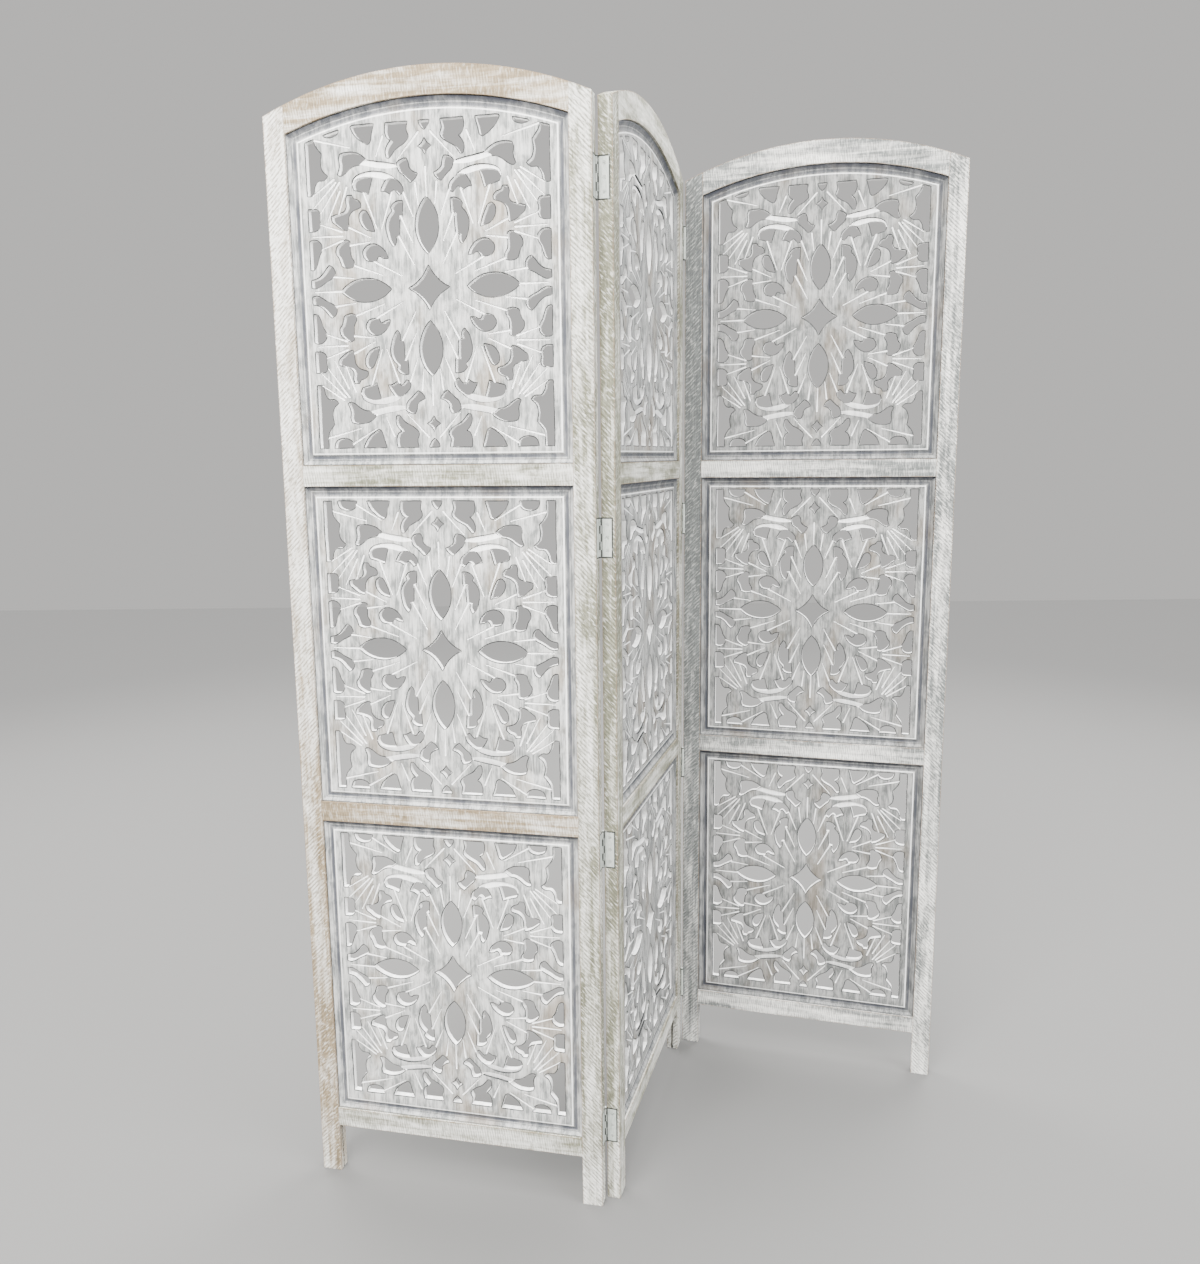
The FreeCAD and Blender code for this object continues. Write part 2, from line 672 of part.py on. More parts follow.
middle_leaf = FreeCAD.Placement(FreeCAD.Vector(), turned(sheet.middle_heading_degrees))
left_fold = middle_leaf.multVec(FreeCAD.Vector(-gap_half, back_pivot, 0))
right_fold = middle_leaf.multVec(FreeCAD.Vector(width + gap_half, front_pivot, 0))
left_leaf = hang(sheet.left_heading_degrees,
                 FreeCAD.Vector(width + gap_half, back_pivot, 0), left_fold)
right_leaf = hang(sheet.right_heading_degrees,
                  FreeCAD.Vector(-gap_half, front_pivot, 0), right_fold)
plan_corners = [leaf.multVec(FreeCAD.Vector(across, back, 0))
                for leaf in (left_leaf, middle_leaf, right_leaf)
                for across in (0, width) for back in (0, thickness)]
plan = FreeCAD.BoundBox()
for corner in plan_corners:
    plan.add(corner)
to_origin = -FreeCAD.Vector(plan.Center.x, plan.Center.y, 0)
for leaf in (left_leaf, middle_leaf, right_leaf):
    leaf.Base += to_origin
left_fold += to_origin
right_fold += to_origin

subparts = []
panel_patterns = {
    "top": pierced_panel("top_panel_pattern", top_opening_place, spring_height,
                         top_opening_place + cell("top_panel_low_margin"),
                         inner_crown - cell("top_panel_crown_margin"), arched=True),
    "middle": pierced_panel("middle_panel_pattern", middle_opening_place, upper_rail_place,
                            middle_opening_place + cell("middle_panel_low_margin"),
                            upper_rail_place - cell("middle_panel_high_margin")),
    "lower": pierced_panel("lower_panel_pattern", lower_opening_place, lower_rail_place,
                           lower_opening_place + cell("lower_panel_low_margin"),
                           lower_rail_place - cell("lower_panel_high_margin")),
}


def keep(item, placement):
    item.Placement = placement
    subparts.append(item)


def build_leaf(name, placement, left_fold_face, right_fold_face):
    keep(stile(name + "_left_stile", True, left_fold_face), placement)
    keep(stile(name + "_right_stile", False, right_fold_face), placement)
    keep(arched_rail(name + "_top_rail"), placement)
    keep(rail(name + "_upper_rail", upper_rail_place, cell("upper_rail_height"), True, True),
         placement)
    keep(rail(name + "_lower_rail", lower_rail_place, cell("lower_rail_height"), True, True),
         placement)
    keep(rail(name + "_bottom_rail", bottom_rail_place, cell("bottom_rail_height"), True, False),
         placement)
    for place, pattern in panel_patterns.items():
        keep(another(f"{name}_{place}_panel", pattern), placement)


def build_fold(name, pivot, pin_side, pin_turn, far_side, far_turn):
    """The four hinges of a fold. The pin side carries the outer knuckles and the pins, and
    the far side's hinge plates are turned over to face them."""
    outer = range(0, KNUCKLES, 2)
    inner = range(1, KNUCKLES, 2)
    for order, height in zip(("first", "second", "third", "fourth"), hinge_heights):
        lift = pivot + vertical * height.number
        hinge = f"{name}_{order}_hinge"
        keep(hinge_plate(f"{hinge}_{pin_side}_plate", outer, nothing),
             FreeCAD.Placement(lift, pin_turn))
        keep(hinge_plate(f"{hinge}_{far_side}_plate", inner, cell("pin_running_clearance")),
             FreeCAD.Placement(lift, far_turn))
        keep(hinge_pin(hinge + "_pin"), FreeCAD.Placement(lift, turned(0)))
    keep(hinge_screws(f"{name}_{pin_side}_screws", 1), FreeCAD.Placement(pivot, pin_turn))
    keep(hinge_screws(f"{name}_{far_side}_screws", -1), FreeCAD.Placement(pivot, far_turn))


half_turn = 180
over_sideways = FreeCAD.Rotation(FreeCAD.Vector(0, 1, 0), half_turn)
over_forwards = FreeCAD.Rotation(FreeCAD.Vector(1, 0, 0), half_turn)
build_leaf("left_leaf", left_leaf, None, "back")
build_leaf("middle_leaf", middle_leaf, "back", "front")
build_leaf("right_leaf", right_leaf, "front", None)
build_fold("left_fold", left_fold, "middle", turned(sheet.middle_heading_degrees),
           "left", turned(sheet.left_heading_degrees) * over_sideways)
build_fold("right_fold", right_fold, "middle", turned(sheet.middle_heading_degrees + half_turn),
           "right", turned(sheet.right_heading_degrees) * over_forwards)

doc.recompute()
for item in doc.Objects:
    if "Invalid" in item.State or "Error" in item.State:
        raise RuntimeError(f"{item.Label} failed: {item.State}")
for item in subparts:
    if item.Shape.isNull() or not item.Shape.isValid():
        raise RuntimeError(f"{item.Label} has no valid shape")
os.makedirs("parts", exist_ok=True)
for item in subparts:
    item.Shape.exportStep(f"parts/{item.Label}.step")
whole = FreeCAD.BoundBox()
for item in subparts:
    whole.add(item.Shape.BoundBox)
    box_size = item.Shape.BoundBox
    print(f"{item.Label}: {len(item.Shape.Solids)} solids, {item.Shape.Volume / 1000:.1f} cm3, "
          f"{box_size.XLength:.1f} x {box_size.YLength:.1f} x {box_size.ZLength:.1f}")
print(f"left fold axis at {left_fold}, right fold axis at {right_fold}")
print(f"whole box {whole}")
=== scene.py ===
# %% [markdown]
# A carved folding screen
#
# The real object is a room divider: three wooden leaves, hinged so that it stands by itself
# in a zigzag. Each leaf is a plain sawn frame round three pierced and carved panels, and the
# whole of it is whitewashed and rubbed back. The sawn frames and the hinges come from the
# CAD model, which is loaded first and never moved. Blender adds what a carver and a painter
# would: the carving of the panels, the screws' slots, and every finish.

# %% Load the fixed frame
import math

import bmesh
import bpy
from mathutils import Matrix, Vector, kdtree, noise
from mathutils.geometry import delaunay_2d_cdt, intersect_point_line


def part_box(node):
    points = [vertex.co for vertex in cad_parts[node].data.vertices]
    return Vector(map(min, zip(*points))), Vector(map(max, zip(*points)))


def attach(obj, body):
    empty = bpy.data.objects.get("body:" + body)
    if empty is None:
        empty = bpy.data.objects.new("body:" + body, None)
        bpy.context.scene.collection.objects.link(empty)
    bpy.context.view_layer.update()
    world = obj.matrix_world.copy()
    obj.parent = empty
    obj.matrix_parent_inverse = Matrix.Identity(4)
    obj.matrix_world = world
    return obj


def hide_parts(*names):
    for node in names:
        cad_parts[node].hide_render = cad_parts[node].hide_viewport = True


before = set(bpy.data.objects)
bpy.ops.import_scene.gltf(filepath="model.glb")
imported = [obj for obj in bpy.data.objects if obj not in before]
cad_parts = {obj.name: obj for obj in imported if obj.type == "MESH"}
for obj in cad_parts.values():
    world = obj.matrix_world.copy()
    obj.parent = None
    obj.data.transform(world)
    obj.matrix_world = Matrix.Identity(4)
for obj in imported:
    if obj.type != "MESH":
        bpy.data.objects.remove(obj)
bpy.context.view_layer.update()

# %% [markdown]
# The camera
#
# The camera stands where the photo was taken from. Its place, tilt and focal length were
# worked out once, by fitting the straight edges of the leaves to it. A camera that is only
# roughly right would make every later comparison misleading, so it comes first. Blender wants
# a lens length in millimetres. A focal length in pixels turns into one by the ratio of the
# sensor's long side to the picture's long side.

# %% The camera
PHOTO_SIZE = (1200, 1264)
FOCAL_PIXELS = 1046.9
SENSOR_WIDTH = 36.0
CAMERA_PLACE = Vector((-0.0811, -1.8451, 1.2469))
CAMERA_PITCH = math.radians(-9.521)
CAMERA_ROLL = math.radians(-0.561)


def put_in(name, data):
    """A new object in the scene for a mesh, a lamp or a camera."""
    thing = bpy.data.objects.new(name, data)
    bpy.context.collection.objects.link(thing)
    return thing


camera_data = bpy.data.cameras.new("camera")
camera_data.sensor_width = SENSOR_WIDTH
camera_data.lens = FOCAL_PIXELS * SENSOR_WIDTH / max(PHOTO_SIZE)
camera = put_in("camera", camera_data)
camera.matrix_world = (Matrix.Translation(CAMERA_PLACE)
                       @ Matrix.Rotation(math.pi / 2 + CAMERA_PITCH, 4, "X")
                       @ Matrix.Rotation(CAMERA_ROLL, 4, "Z"))
bpy.context.scene.camera = camera
print("lens", round(camera_data.lens, 2), "mm")

# %% [markdown]
# The leaves' own frames
#
# Carving is easiest to draw flat, so each leaf gets a frame of its own: X across its width,
# Y from its front face to its back, Z up. The frame is found from the CAD stiles, so that the
# carving lands where the leaf really stands, with no angle typed twice.

# %% The leaves' own frames
LEAVES = ("left_leaf", "middle_leaf", "right_leaf")
STILE_WIDTH = 0.034
LEAF_WIDTH = 0.508
LEAF_THICKNESS = 0.022


def middle_of(node):
    low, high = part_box(node)
    return (Vector(low) + Vector(high)) / 2


def leaf_frame(leaf):
    left = middle_of(leaf + "_left_stile")
    across = middle_of(leaf + "_right_stile") - left
    turn = Matrix.Rotation(math.atan2(across.y, across.x), 4, "Z")
    to_corner = turn @ Vector((STILE_WIDTH / 2, LEAF_THICKNESS / 2, left.z))
    return Matrix.Translation(left - to_corner) @ turn


leaf_frames = {leaf: leaf_frame(leaf) for leaf in LEAVES}
for leaf, place in leaf_frames.items():
    print(leaf, "turned", round(math.degrees(place.to_euler().z), 2), "degrees")

# %% [markdown]
# The openings for the panels
#
# The rails say how high each panel's opening is. The top opening ends in a shallow arch, which
# is an arc through three points, so its radius follows from its span and its rise.

# %% The openings for the panels
ARCH_RISE = 0.039
# How far a panel's edges reach into the grooves of its frame.
PANEL_INSERTION = 0.0075
half_opening = LEAF_WIDTH / 2 - STILE_WIDTH
rail_levels = {rail: [corner[2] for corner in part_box(f"left_leaf_{rail}_rail")]
               for rail in ("bottom", "lower", "upper")}
arch_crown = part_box("left_leaf_top_panel")[1][2] - PANEL_INSERTION
arch_radius = (half_opening ** 2 + ARCH_RISE ** 2) / (2 * ARCH_RISE)
arch_centre = Vector((LEAF_WIDTH / 2, arch_crown - arch_radius))
openings = {
    "lower": (rail_levels["bottom"][1], rail_levels["lower"][0]),
    "middle": (rail_levels["lower"][1], rail_levels["upper"][0]),
    "top": (rail_levels["upper"][1], arch_crown - ARCH_RISE),
}
for name, levels in openings.items():
    print(name, "opening from", round(levels[0], 4), "to", round(levels[1], 4), "m")

# %% [markdown]
# The carver's drawing
#
# A jali carver rules a grid, draws a quarter of the pattern and flips it for the other three.
# The same is done here. Every opening is an outline on a grid of 190 by 235 squares, counted
# from the panel's centre: one point after a stroke is a straight cut, two are an arc, more are
# a smooth curve. The veins are short V-shaped cuts from point to point, and the bands are
# slanted cuts between two lines. Drawing it in a few points keeps the shapes those of
# the photo without copying any pixel of it.

# %% The carver's drawing: openings sawn right through
GRID_ACROSS = 190
GRID_UP = 235
QUARTER_OPENINGS = {
    "bud": ((26, 235), [(60, 235)], [(61, 224), (58, 215), (52, 211)],
            [(58, 204), (61, 196), (60, 188)],
            [(56, 187), (46, 198), (32, 206), (25, 214), (28, 224), (26, 235)]),
    "tulip": ((79, 235), [(116, 235)], [(110, 223), (99, 213), (90, 208)],
              [(86, 211), (83, 222), (79, 235)]),
    "lens": ((134, 235), [(166, 235)], [(162, 225), (150, 221), (138, 225), (134, 235)]),
    "corner": ((177, 235), [(190, 235)], [(190, 140)], [(184, 140)],
               [(180, 144), (178, 153), (172, 161), (162, 162), (156, 167)],
               [(164, 174), (167, 185), (165, 199)], [(171, 206), (176, 215), (177, 235)]),
    "edge_bean": ((190, 120), [(190, 89)], [(181, 89)],
                  [(175, 92), (172, 98), (173, 105), (172, 112), (175, 119), (190, 120)]),
    "edge_horn": ((190, 74), [(190, 33)], [(186, 33)],
                  [(182, 36), (179, 43), (176, 52), (171, 61), (171, 68)],
                  [(175, 73), (190, 74)]),
    "edge_wing": ((190, 17), [(190, 7)], [(183, 6)], [(176, 9), (168, 14), (158, 19), (152, 23)],
                  [(153, 33), (160, 38)], [(165, 33), (171, 26), (179, 20), (190, 17)]),
    "bird": ((94, 187), [(102, 193), (112, 197), (125, 198), (134, 196)],
             [(136, 190), (135, 182), (136, 175), (139, 168)],
             [(135, 166), (128, 169), (120, 175), (112, 179), (104, 180)], [(94, 187)]),
    "hook": ((30, 184), [(37, 183), (44, 178)], [(43, 172), (40, 166), (35, 162), (24, 151)],
             [(18, 155), (13, 162)], [(20, 165), (26, 171), (27, 178), (30, 184)]),
    "cap": ((36, 137), [(37, 145), (44, 153), (52, 158), (60, 158)], [(66, 151), (71, 141)],
            [(67, 141), (62, 139), (57, 136)], [(54, 140), (50, 142), (46, 139), (42, 134)],
            [(36, 137)]),
    "sail": ((84, 162), [(92, 163), (103, 162), (112, 159), (116, 152), (114, 145)],
             [(103, 142), (91, 138)], [(88, 150), (84, 162)]),
    "gull": ((119, 137), [(126, 137)], [(128, 130), (127, 122), (131, 115), (139, 112), (152, 109)],
             [(151, 102), (145, 97), (137, 91), (128, 88)],
             [(126, 93), (126, 100), (124, 109), (117, 116), (105, 120)],
             [(105, 125), (110, 130), (116, 132), (119, 137)]),
    "leaf": ((84, 84), [(87, 94), (91, 104), (96, 113), (101, 115)],
             [(106, 111), (107, 103), (104, 95), (97, 88), (84, 84)]),
    "flame": ((38, 125), [(45, 125), (52, 122), (56, 117)],
              [(54, 112), (60, 105), (64, 97), (65, 88), (63, 78), (60, 69), (54, 61)],
              [(50, 68), (51, 75)], [(45, 76)], [(44, 90), (44, 105)], [(39, 105)],
              [(38, 125)]),
    "fish": ((64, 45), [(68, 54), (76, 62), (86, 66), (96, 64), (103, 57), (103, 50), (99, 44)],
             [(91, 42), (83, 42)], [(81, 47), (77, 49), (71, 46), (64, 45)]),
    "comma": ((125, 72), [(131, 74), (139, 70), (146, 63), (147, 55), (143, 49), (139, 37)],
              [(130, 34), (120, 36)], [(120, 43), (124, 50), (125, 58), (125, 72)]),
}
UPRIGHT_OPENINGS = {
    "almond": ((0, 49), [(18, 88), (0, 129)], [(-18, 88), (0, 49)]),
    "small_diamond": ((10, 200), [(4, 204), (0, 211)], [(-4, 204), (-10, 200)],
                      [(-4, 196), (0, 189)], [(4, 196), (10, 200)]),
    "notch": ((-8, 235), [(8, 235)], [(5, 228), (0, 223)], [(-5, 228), (-8, 235)]),
}
LEVEL_OPENINGS = {"side_almond": ((61, 0), [(101, 17), (142, 0)], [(101, -17), (61, 0)])}
CENTRE_OPENINGS = {"diamond": ((32, 0), [(13, 13), (0, 32)], [(-13, 13), (-32, 0)],
                               [(-13, -13), (0, -32)], [(13, -13), (32, 0)])}
BOTH = (1, -1)
drawn_openings = [(outline, across, up) for outline in QUARTER_OPENINGS.values()
                  for across in BOTH for up in BOTH]
drawn_openings += [(outline, 1, up) for outline in UPRIGHT_OPENINGS.values() for up in BOTH]
drawn_openings += [(outline, across, 1) for outline in LEVEL_OPENINGS.values() for across in BOTH]
drawn_openings += [(outline, 1, 1) for outline in CENTRE_OPENINGS.values()]
print(len(drawn_openings), "openings in a panel")

# %% The carver's drawing: veins and bands
QUARTER_VEINS = [
    ((9, 220), (43, 184)), ((65, 218), (77, 190)), ((135, 230), (94, 206)),
    ((175, 219), (119, 205)), ((146, 162), (181, 140)), ((143, 158), (181, 122)),
    ((137, 158), (170, 114)), ((137, 145), (159, 103)), ((126, 150), (141, 111)),
    ((17, 150), (13, 119)), ((36, 137), (22, 103)), ((54, 138), (72, 88)),
    ((99, 140), (80, 88)), ((42, 105), (24, 66)), ((46, 76), (23, 34)),
    ((125, 92), (91, 76)), ((125, 66), (91, 70)), ((136, 86), (173, 99)),
    ((136, 80), (185, 81)), ((136, 74), (172, 62)), ((86, 41), (43, 19)),
    ((120, 37), (73, 21)), ((154, 22), (120, 18)),
]
UPRIGHT_VEINS = [((0, 172), (0, 130))]
LEVEL_VEINS = [((140, 0), (185, 0))]
# A band falls from its first line, which is a wall, to nothing at its second line.
QUARTER_BANDS = [
    ([(46, 178), (60, 181), (78, 184), (93, 187)],
     [(44, 173), (62, 172), (82, 175), (103, 180)]),
    ([(45, 154), (52, 161), (64, 167), (78, 170), (92, 170), (106, 167), (115, 161), (118, 153)],
     [(45, 154), (52, 158), (63, 157), (77, 160), (90, 162), (103, 162), (112, 159), (116, 152)]),
]
drawn_veins = [(vein, across, up) for vein in QUARTER_VEINS for across in BOTH for up in BOTH]
drawn_veins += [(vein, 1, up) for vein in UPRIGHT_VEINS for up in BOTH]
drawn_veins += [(vein, across, 1) for vein in LEVEL_VEINS for across in BOTH]
drawn_bands = [(lines, across, up) for lines in QUARTER_BANDS for across in BOTH for up in BOTH]
print(len(drawn_veins), "veins and", len(drawn_bands), "bands in a panel")

# %% [markdown]
# The grid on the wood
#
# The carver's squares have to land on the panel. A field is the rectangle of one panel that
# the grid covers. It turns squares into metres, and it knows how high the arch lets a line go.
# One class for all three panels means that the pattern is drawn once and fits each of them.

# %% The grid on the wood
SIDE_MARGIN = 0.030
# How far each field stays above the foot of its opening, and below its top. The top panel's
# field reaches a little past the level where the arch springs.
FIELD_MARGINS = {"lower": (0.035, 0.022), "middle": (0.0255, 0.0235), "top": (0.027, -0.006)}
ARCH_MARGIN = 0.023
half_field = half_opening - SIDE_MARGIN


class Field:
    """The rectangle of one panel that the carver's grid covers, in the leaf's own frame."""

    def __init__(self, name):
        self.name = name
        self.arched = name == "top"
        self.low = openings[name][0] + FIELD_MARGINS[name][0]
        self.high = openings[name][1] - FIELD_MARGINS[name][1]
        self.centre = Vector((LEAF_WIDTH / 2, (self.low + self.high) / 2))
        self.scale = Vector((half_field / GRID_ACROSS, (self.high - self.low) / 2 / GRID_UP))

    def place(self, point, across, up):
        shift = Vector((across * point[0] * self.scale.x, up * point[1] * self.scale.y))
        return self.centre + shift

    def below_arch(self, point, margin):
        """The point, lowered to the margin under the arch where it lies above it."""
        if not self.arched:
            return point
        reach = arch_radius - margin
        highest = arch_centre.y + math.sqrt(reach ** 2 - (point.x - arch_centre.x) ** 2)
        return Vector((point.x, min(point.y, highest)))


fields = {name: Field(name) for name in openings}
print("lower field", round(2 * half_field, 3), "by",
      round(fields["lower"].high - fields["lower"].low, 3), "m")

# %% [markdown]
# Smooth lines and small wobbles
#
# A fret saw leaves smooth stretches and small wobbles. A stroke is walked in short steps, as an
# arc or a smooth curve, and every point is nudged by a fraction of a millimetre of noise, so no
# two quarters are quite the same. Blender starts its noise from the clock, so a seed is set
# first: then the nudge depends only on the point's place, and every run gives the same panel.

# %% Smooth lines and small wobbles
STEP = 0.0026
# How long each wobble is, and how far it moves a point.
WOBBLES = ((0.030, 0.0006), (0.007, 0.00025))
WOBBLE_SEED = 5
NEARLY_STRAIGHT = 1e-9
MM_IN_METRE = 1000
noise.seed_set(WOBBLE_SEED)


def wobbled(point, layer):
    for size, amount in WOBBLES:
        shift = noise.noise_vector(Vector((point.x / size, point.y / size, layer)))
        point = point + Vector((shift.x, shift.y)) * amount
    return point


def smooth_curve(points):
    """A smooth curve through the points, walked in short steps, without its last point."""
    walked = []
    for place in range(len(points) - 1):
        start, end = points[place], points[place + 1]
        before = points[place - 1] if place else start + (start - end) * 0.5
        after = points[place + 2] if place + 2 < len(points) else end + (end - start) * 0.5
        steps = max(2, round((end - start).length / STEP))
        for step in range(steps):
            t = step / steps
            walked.append(0.5 * ((2 * start) + (end - before) * t
                                 + (2 * before - 5 * start + 4 * end - after) * t ** 2
                                 + (3 * start - before - 3 * end + after) * t ** 3))
    return walked


def arc_curve(start, crown, end):
    """The arc through three points, walked in short steps, without its last point."""
    a, b = crown - start, end - start
    turn = 2 * (a.x * b.y - a.y * b.x)
    if abs(turn) < NEARLY_STRAIGHT:
        return smooth_curve([start, end])
    centre = start + Vector((b.y * a.length_squared - a.y * b.length_squared,
                             a.x * b.length_squared - b.x * a.length_squared)) / turn
    radius = (start - centre).length
    first = math.atan2(start.y - centre.y, start.x - centre.x)
    sweep = math.atan2(end.y - centre.y, end.x - centre.x) - first
    anticlockwise = turn > 0
    sweep = sweep % math.tau if anticlockwise else -((-sweep) % math.tau)
    steps = max(3, round(abs(sweep) * radius / STEP))
    return [centre + radius * Vector((math.cos(first + sweep * step / steps),
                                      math.sin(first + sweep * step / steps)))
            for step in range(steps)]


nudge = wobbled(arch_centre, 0) - arch_centre
print("a nudge of", round(MM_IN_METRE * nudge.length, 3), "mm at the arch's centre")

# %% [markdown]
# The sawn openings
#
# An opening is its strokes, one after the other, closed to a loop. In the top panel the outer
# openings would run past the arch. Cutting shapes with each other is slow and often fragile, so
# their points are simply lowered to the arch's margin, and an opening that has no room left is
# dropped. Points that come to lie too close together are dropped too.

# %% The sawn openings
# The layer of the noise that nudges each panel's outlines.
WOBBLE_LAYERS = {"lower": 4.0, "middle": 1.0, "top": 4.0}
JUST_BELOW = Vector((0, 0.0006))
LEAST_STEP = 0.0008
SMALLEST_AREA = 0.00003


def is_inside(point, loop):
    inside = False
    for a, b in zip(loop, loop[1:] + loop[:1]):
        if (a.y > point.y) != (b.y > point.y):
            if point.x < a.x + (point.y - a.y) * (b.x - a.x) / (b.y - a.y):
                inside = not inside
    return inside


def tidy_loop(line):
    """The closed line without points that lie too close together, and anticlockwise."""
    kept = []
    for point in line:
        if not kept or (point - kept[-1]).length > LEAST_STEP:
            kept.append(point)
    while len(kept) > 1 and (kept[0] - kept[-1]).length <= LEAST_STEP:
        kept.pop()
    area = sum(a.x * b.y - b.x * a.y for a, b in zip(kept, kept[1:] + kept[:1])) / 2
    if abs(area) < SMALLEST_AREA:
        return []
    return kept if area > 0 else kept[::-1]


def opening_line(field, outline, across, up):
    """One opening's outline on the wood, or nothing where the arch leaves no room for it."""
    line, last = [], field.place(outline[0], across, up)
    for stroke in outline[1:]:
        points = [last] + [field.place(point, across, up) for point in stroke]
        line += arc_curve(*points) if len(points) == 3 else smooth_curve(points)
        last = points[-1]
    line = [wobbled(point, WOBBLE_LAYERS[field.name]) for point in line]
    clipped = []
    for point in line:
        lowered = field.below_arch(point, ARCH_MARGIN)
        if lowered == point or is_inside(lowered - JUST_BELOW, line):
            clipped.append(lowered)
    return tidy_loop(clipped)


diamond = opening_line(fields["middle"], CENTRE_OPENINGS["diamond"], 1, 1)
print("the middle diamond has", len(diamond), "points")

# %% [markdown]
# The panel's border
#
# Round its carving each panel keeps a plain border: a sloping lip against the frame, a cove
# that the blue-grey stain has settled in, and a white rim. A moulding like that is one profile
# swept round the panel. Each point of the profile is an inset from the opening and a depth
# behind the leaf's front face, and joining the inset outlines one to the next makes the
# moulding with clean mitred corners. Each point also says how much stain lies on it. Under the
# panel's upper edge that is more, as in the photo: the extra is painted shade, the shadow that
# the frame above casts into the recess.

# %% The panel's border
FIELD_DEPTH = 0.006
# Inset, depth, stain on the sides and below, and stain with painted shade under the upper edge.
BORDER_PROFILE = [
    (-PANEL_INSERTION, 0.0086, 1.0, 1.0), (-0.0003, 0.0086, 1.0, 1.0),
    (0.0003, 0.0050, 0.95, 1.0), (0.0010, 0.0040, 0.50, 1.0), (0.0022, 0.0042, 0.15, 1.0),
    (0.0045, 0.0058, 0.15, 0.90), (0.0064, 0.0072, 0.35, 0.70), (0.0072, 0.0080, 0.70, 0.65),
    (0.0078, 0.0076, 0.05, 0.45), (0.0088, 0.0075, 0.15, 0.40), (0.0095, 0.0081, 0.75, 0.60),
    (0.0108, 0.0087, 0.95, 0.80), (0.0124, 0.0088, 0.95, 0.80), (0.0138, 0.0083, 0.80, 0.60),
    (0.0152, 0.0073, 0.50, 0.30), (0.0163, 0.0065, 0.20, 0.10), (0.0172, 0.0061, 0.0, 0.0),
    (0.0185, FIELD_DEPTH, 0.0, 0.0),
]
STEPS_ACROSS, STEPS_UP = 72, 84
RIM_START = 0.0163
rim_inset = BORDER_PROFILE[-1][0]


def border_line(field, inset):
    """The panel opening's outline, inset, with the same number of points at every inset."""
    low = openings[field.name][0] + inset
    left, right = STILE_WIDTH + inset, LEAF_WIDTH - STILE_WIDTH - inset
    reach = arch_radius - inset

    def top_at(across):
        if not field.arched:
            return openings[field.name][1] - inset
        return arch_centre.y + math.sqrt(reach ** 2 - (across - arch_centre.x) ** 2)

    def between(a, b, steps):
        return [a + (b - a) * step / steps for step in range(steps)]

    line = [Vector((across, low)) for across in between(left, right, STEPS_ACROSS)]
    line += [Vector((right, up)) for up in between(low, top_at(right), STEPS_UP)]
    line += [Vector((across, top_at(across))) for across in between(right, left, STEPS_ACROSS)]
    line += [Vector((left, up)) for up in between(top_at(left), low, STEPS_UP)]
    return line


def is_upper(number):
    """Whether a point of a border line lies along the panel's upper edge."""
    return STEPS_ACROSS + STEPS_UP <= number <= 2 * STEPS_ACROSS + STEPS_UP


print("border", len(border_line(fields["top"], 0)), "points round,", len(BORDER_PROFILE), "deep")

# %% [markdown]
# Distances on the wood
#
# How deep the carving is at a point depends on how far the point is from the drawn lines. For a
# vein or a band, that is the distance to a few straight pieces. For the openings it is the
# distance to the nearest of some thousands of points, which a search tree finds at once.

# %% Distances on the wood
def tree_of(points):
    """A search tree, which finds the nearest of many points without measuring them all."""
    tree = kdtree.KDTree(len(points))
    for number, point in enumerate(points):
        tree.insert(point.to_3d(), number)
    tree.balance()
    return tree


def distance_to_segment(point, start, end):
    """How far a point is from a straight piece of line, and how far along it: from 0 to 1."""
    nearest, share = intersect_point_line(point, start, end)
    share = min(1.0, max(0.0, share))
    return (point - start.lerp(end, share)).length, share


def distance_to_line(point, line):
    return min(distance_to_segment(point, a, b)[0] for a, b in zip(line, line[1:]))


to_border = distance_to_line(fields["top"].centre, border_line(fields["top"], rim_inset))
print("the top field's centre is", round(MM_IN_METRE * to_border), "mm from its border")

# %% [markdown]
# The carving's depth
#
# With every line known, the depth of the surface at any point follows from what lies near it:
# the edge of an opening is a little worn down, a vein is a V, and a band is a slope that starts
# at a wall. Working the depth out from distances, instead of moving points by hand, means that
# lines may cross each other freely.

# %% The carving's depth
WEAR_WIDTH = 0.0016
WEAR_DEPTH = 0.0006
VEIN_HALF_WIDTH = 0.0021
VEIN_TAPER = 0.45
VEIN_DEPTH = 0.0015
BAND_DEPTH = 0.0030
BAND_WALL = 0.0009
# A cut whose middle is further up or down than this can't reach a point.
NEAR_IN_HEIGHT = 0.06
VEIN_LAYER = 2.0
LINES_MET = 1e-6


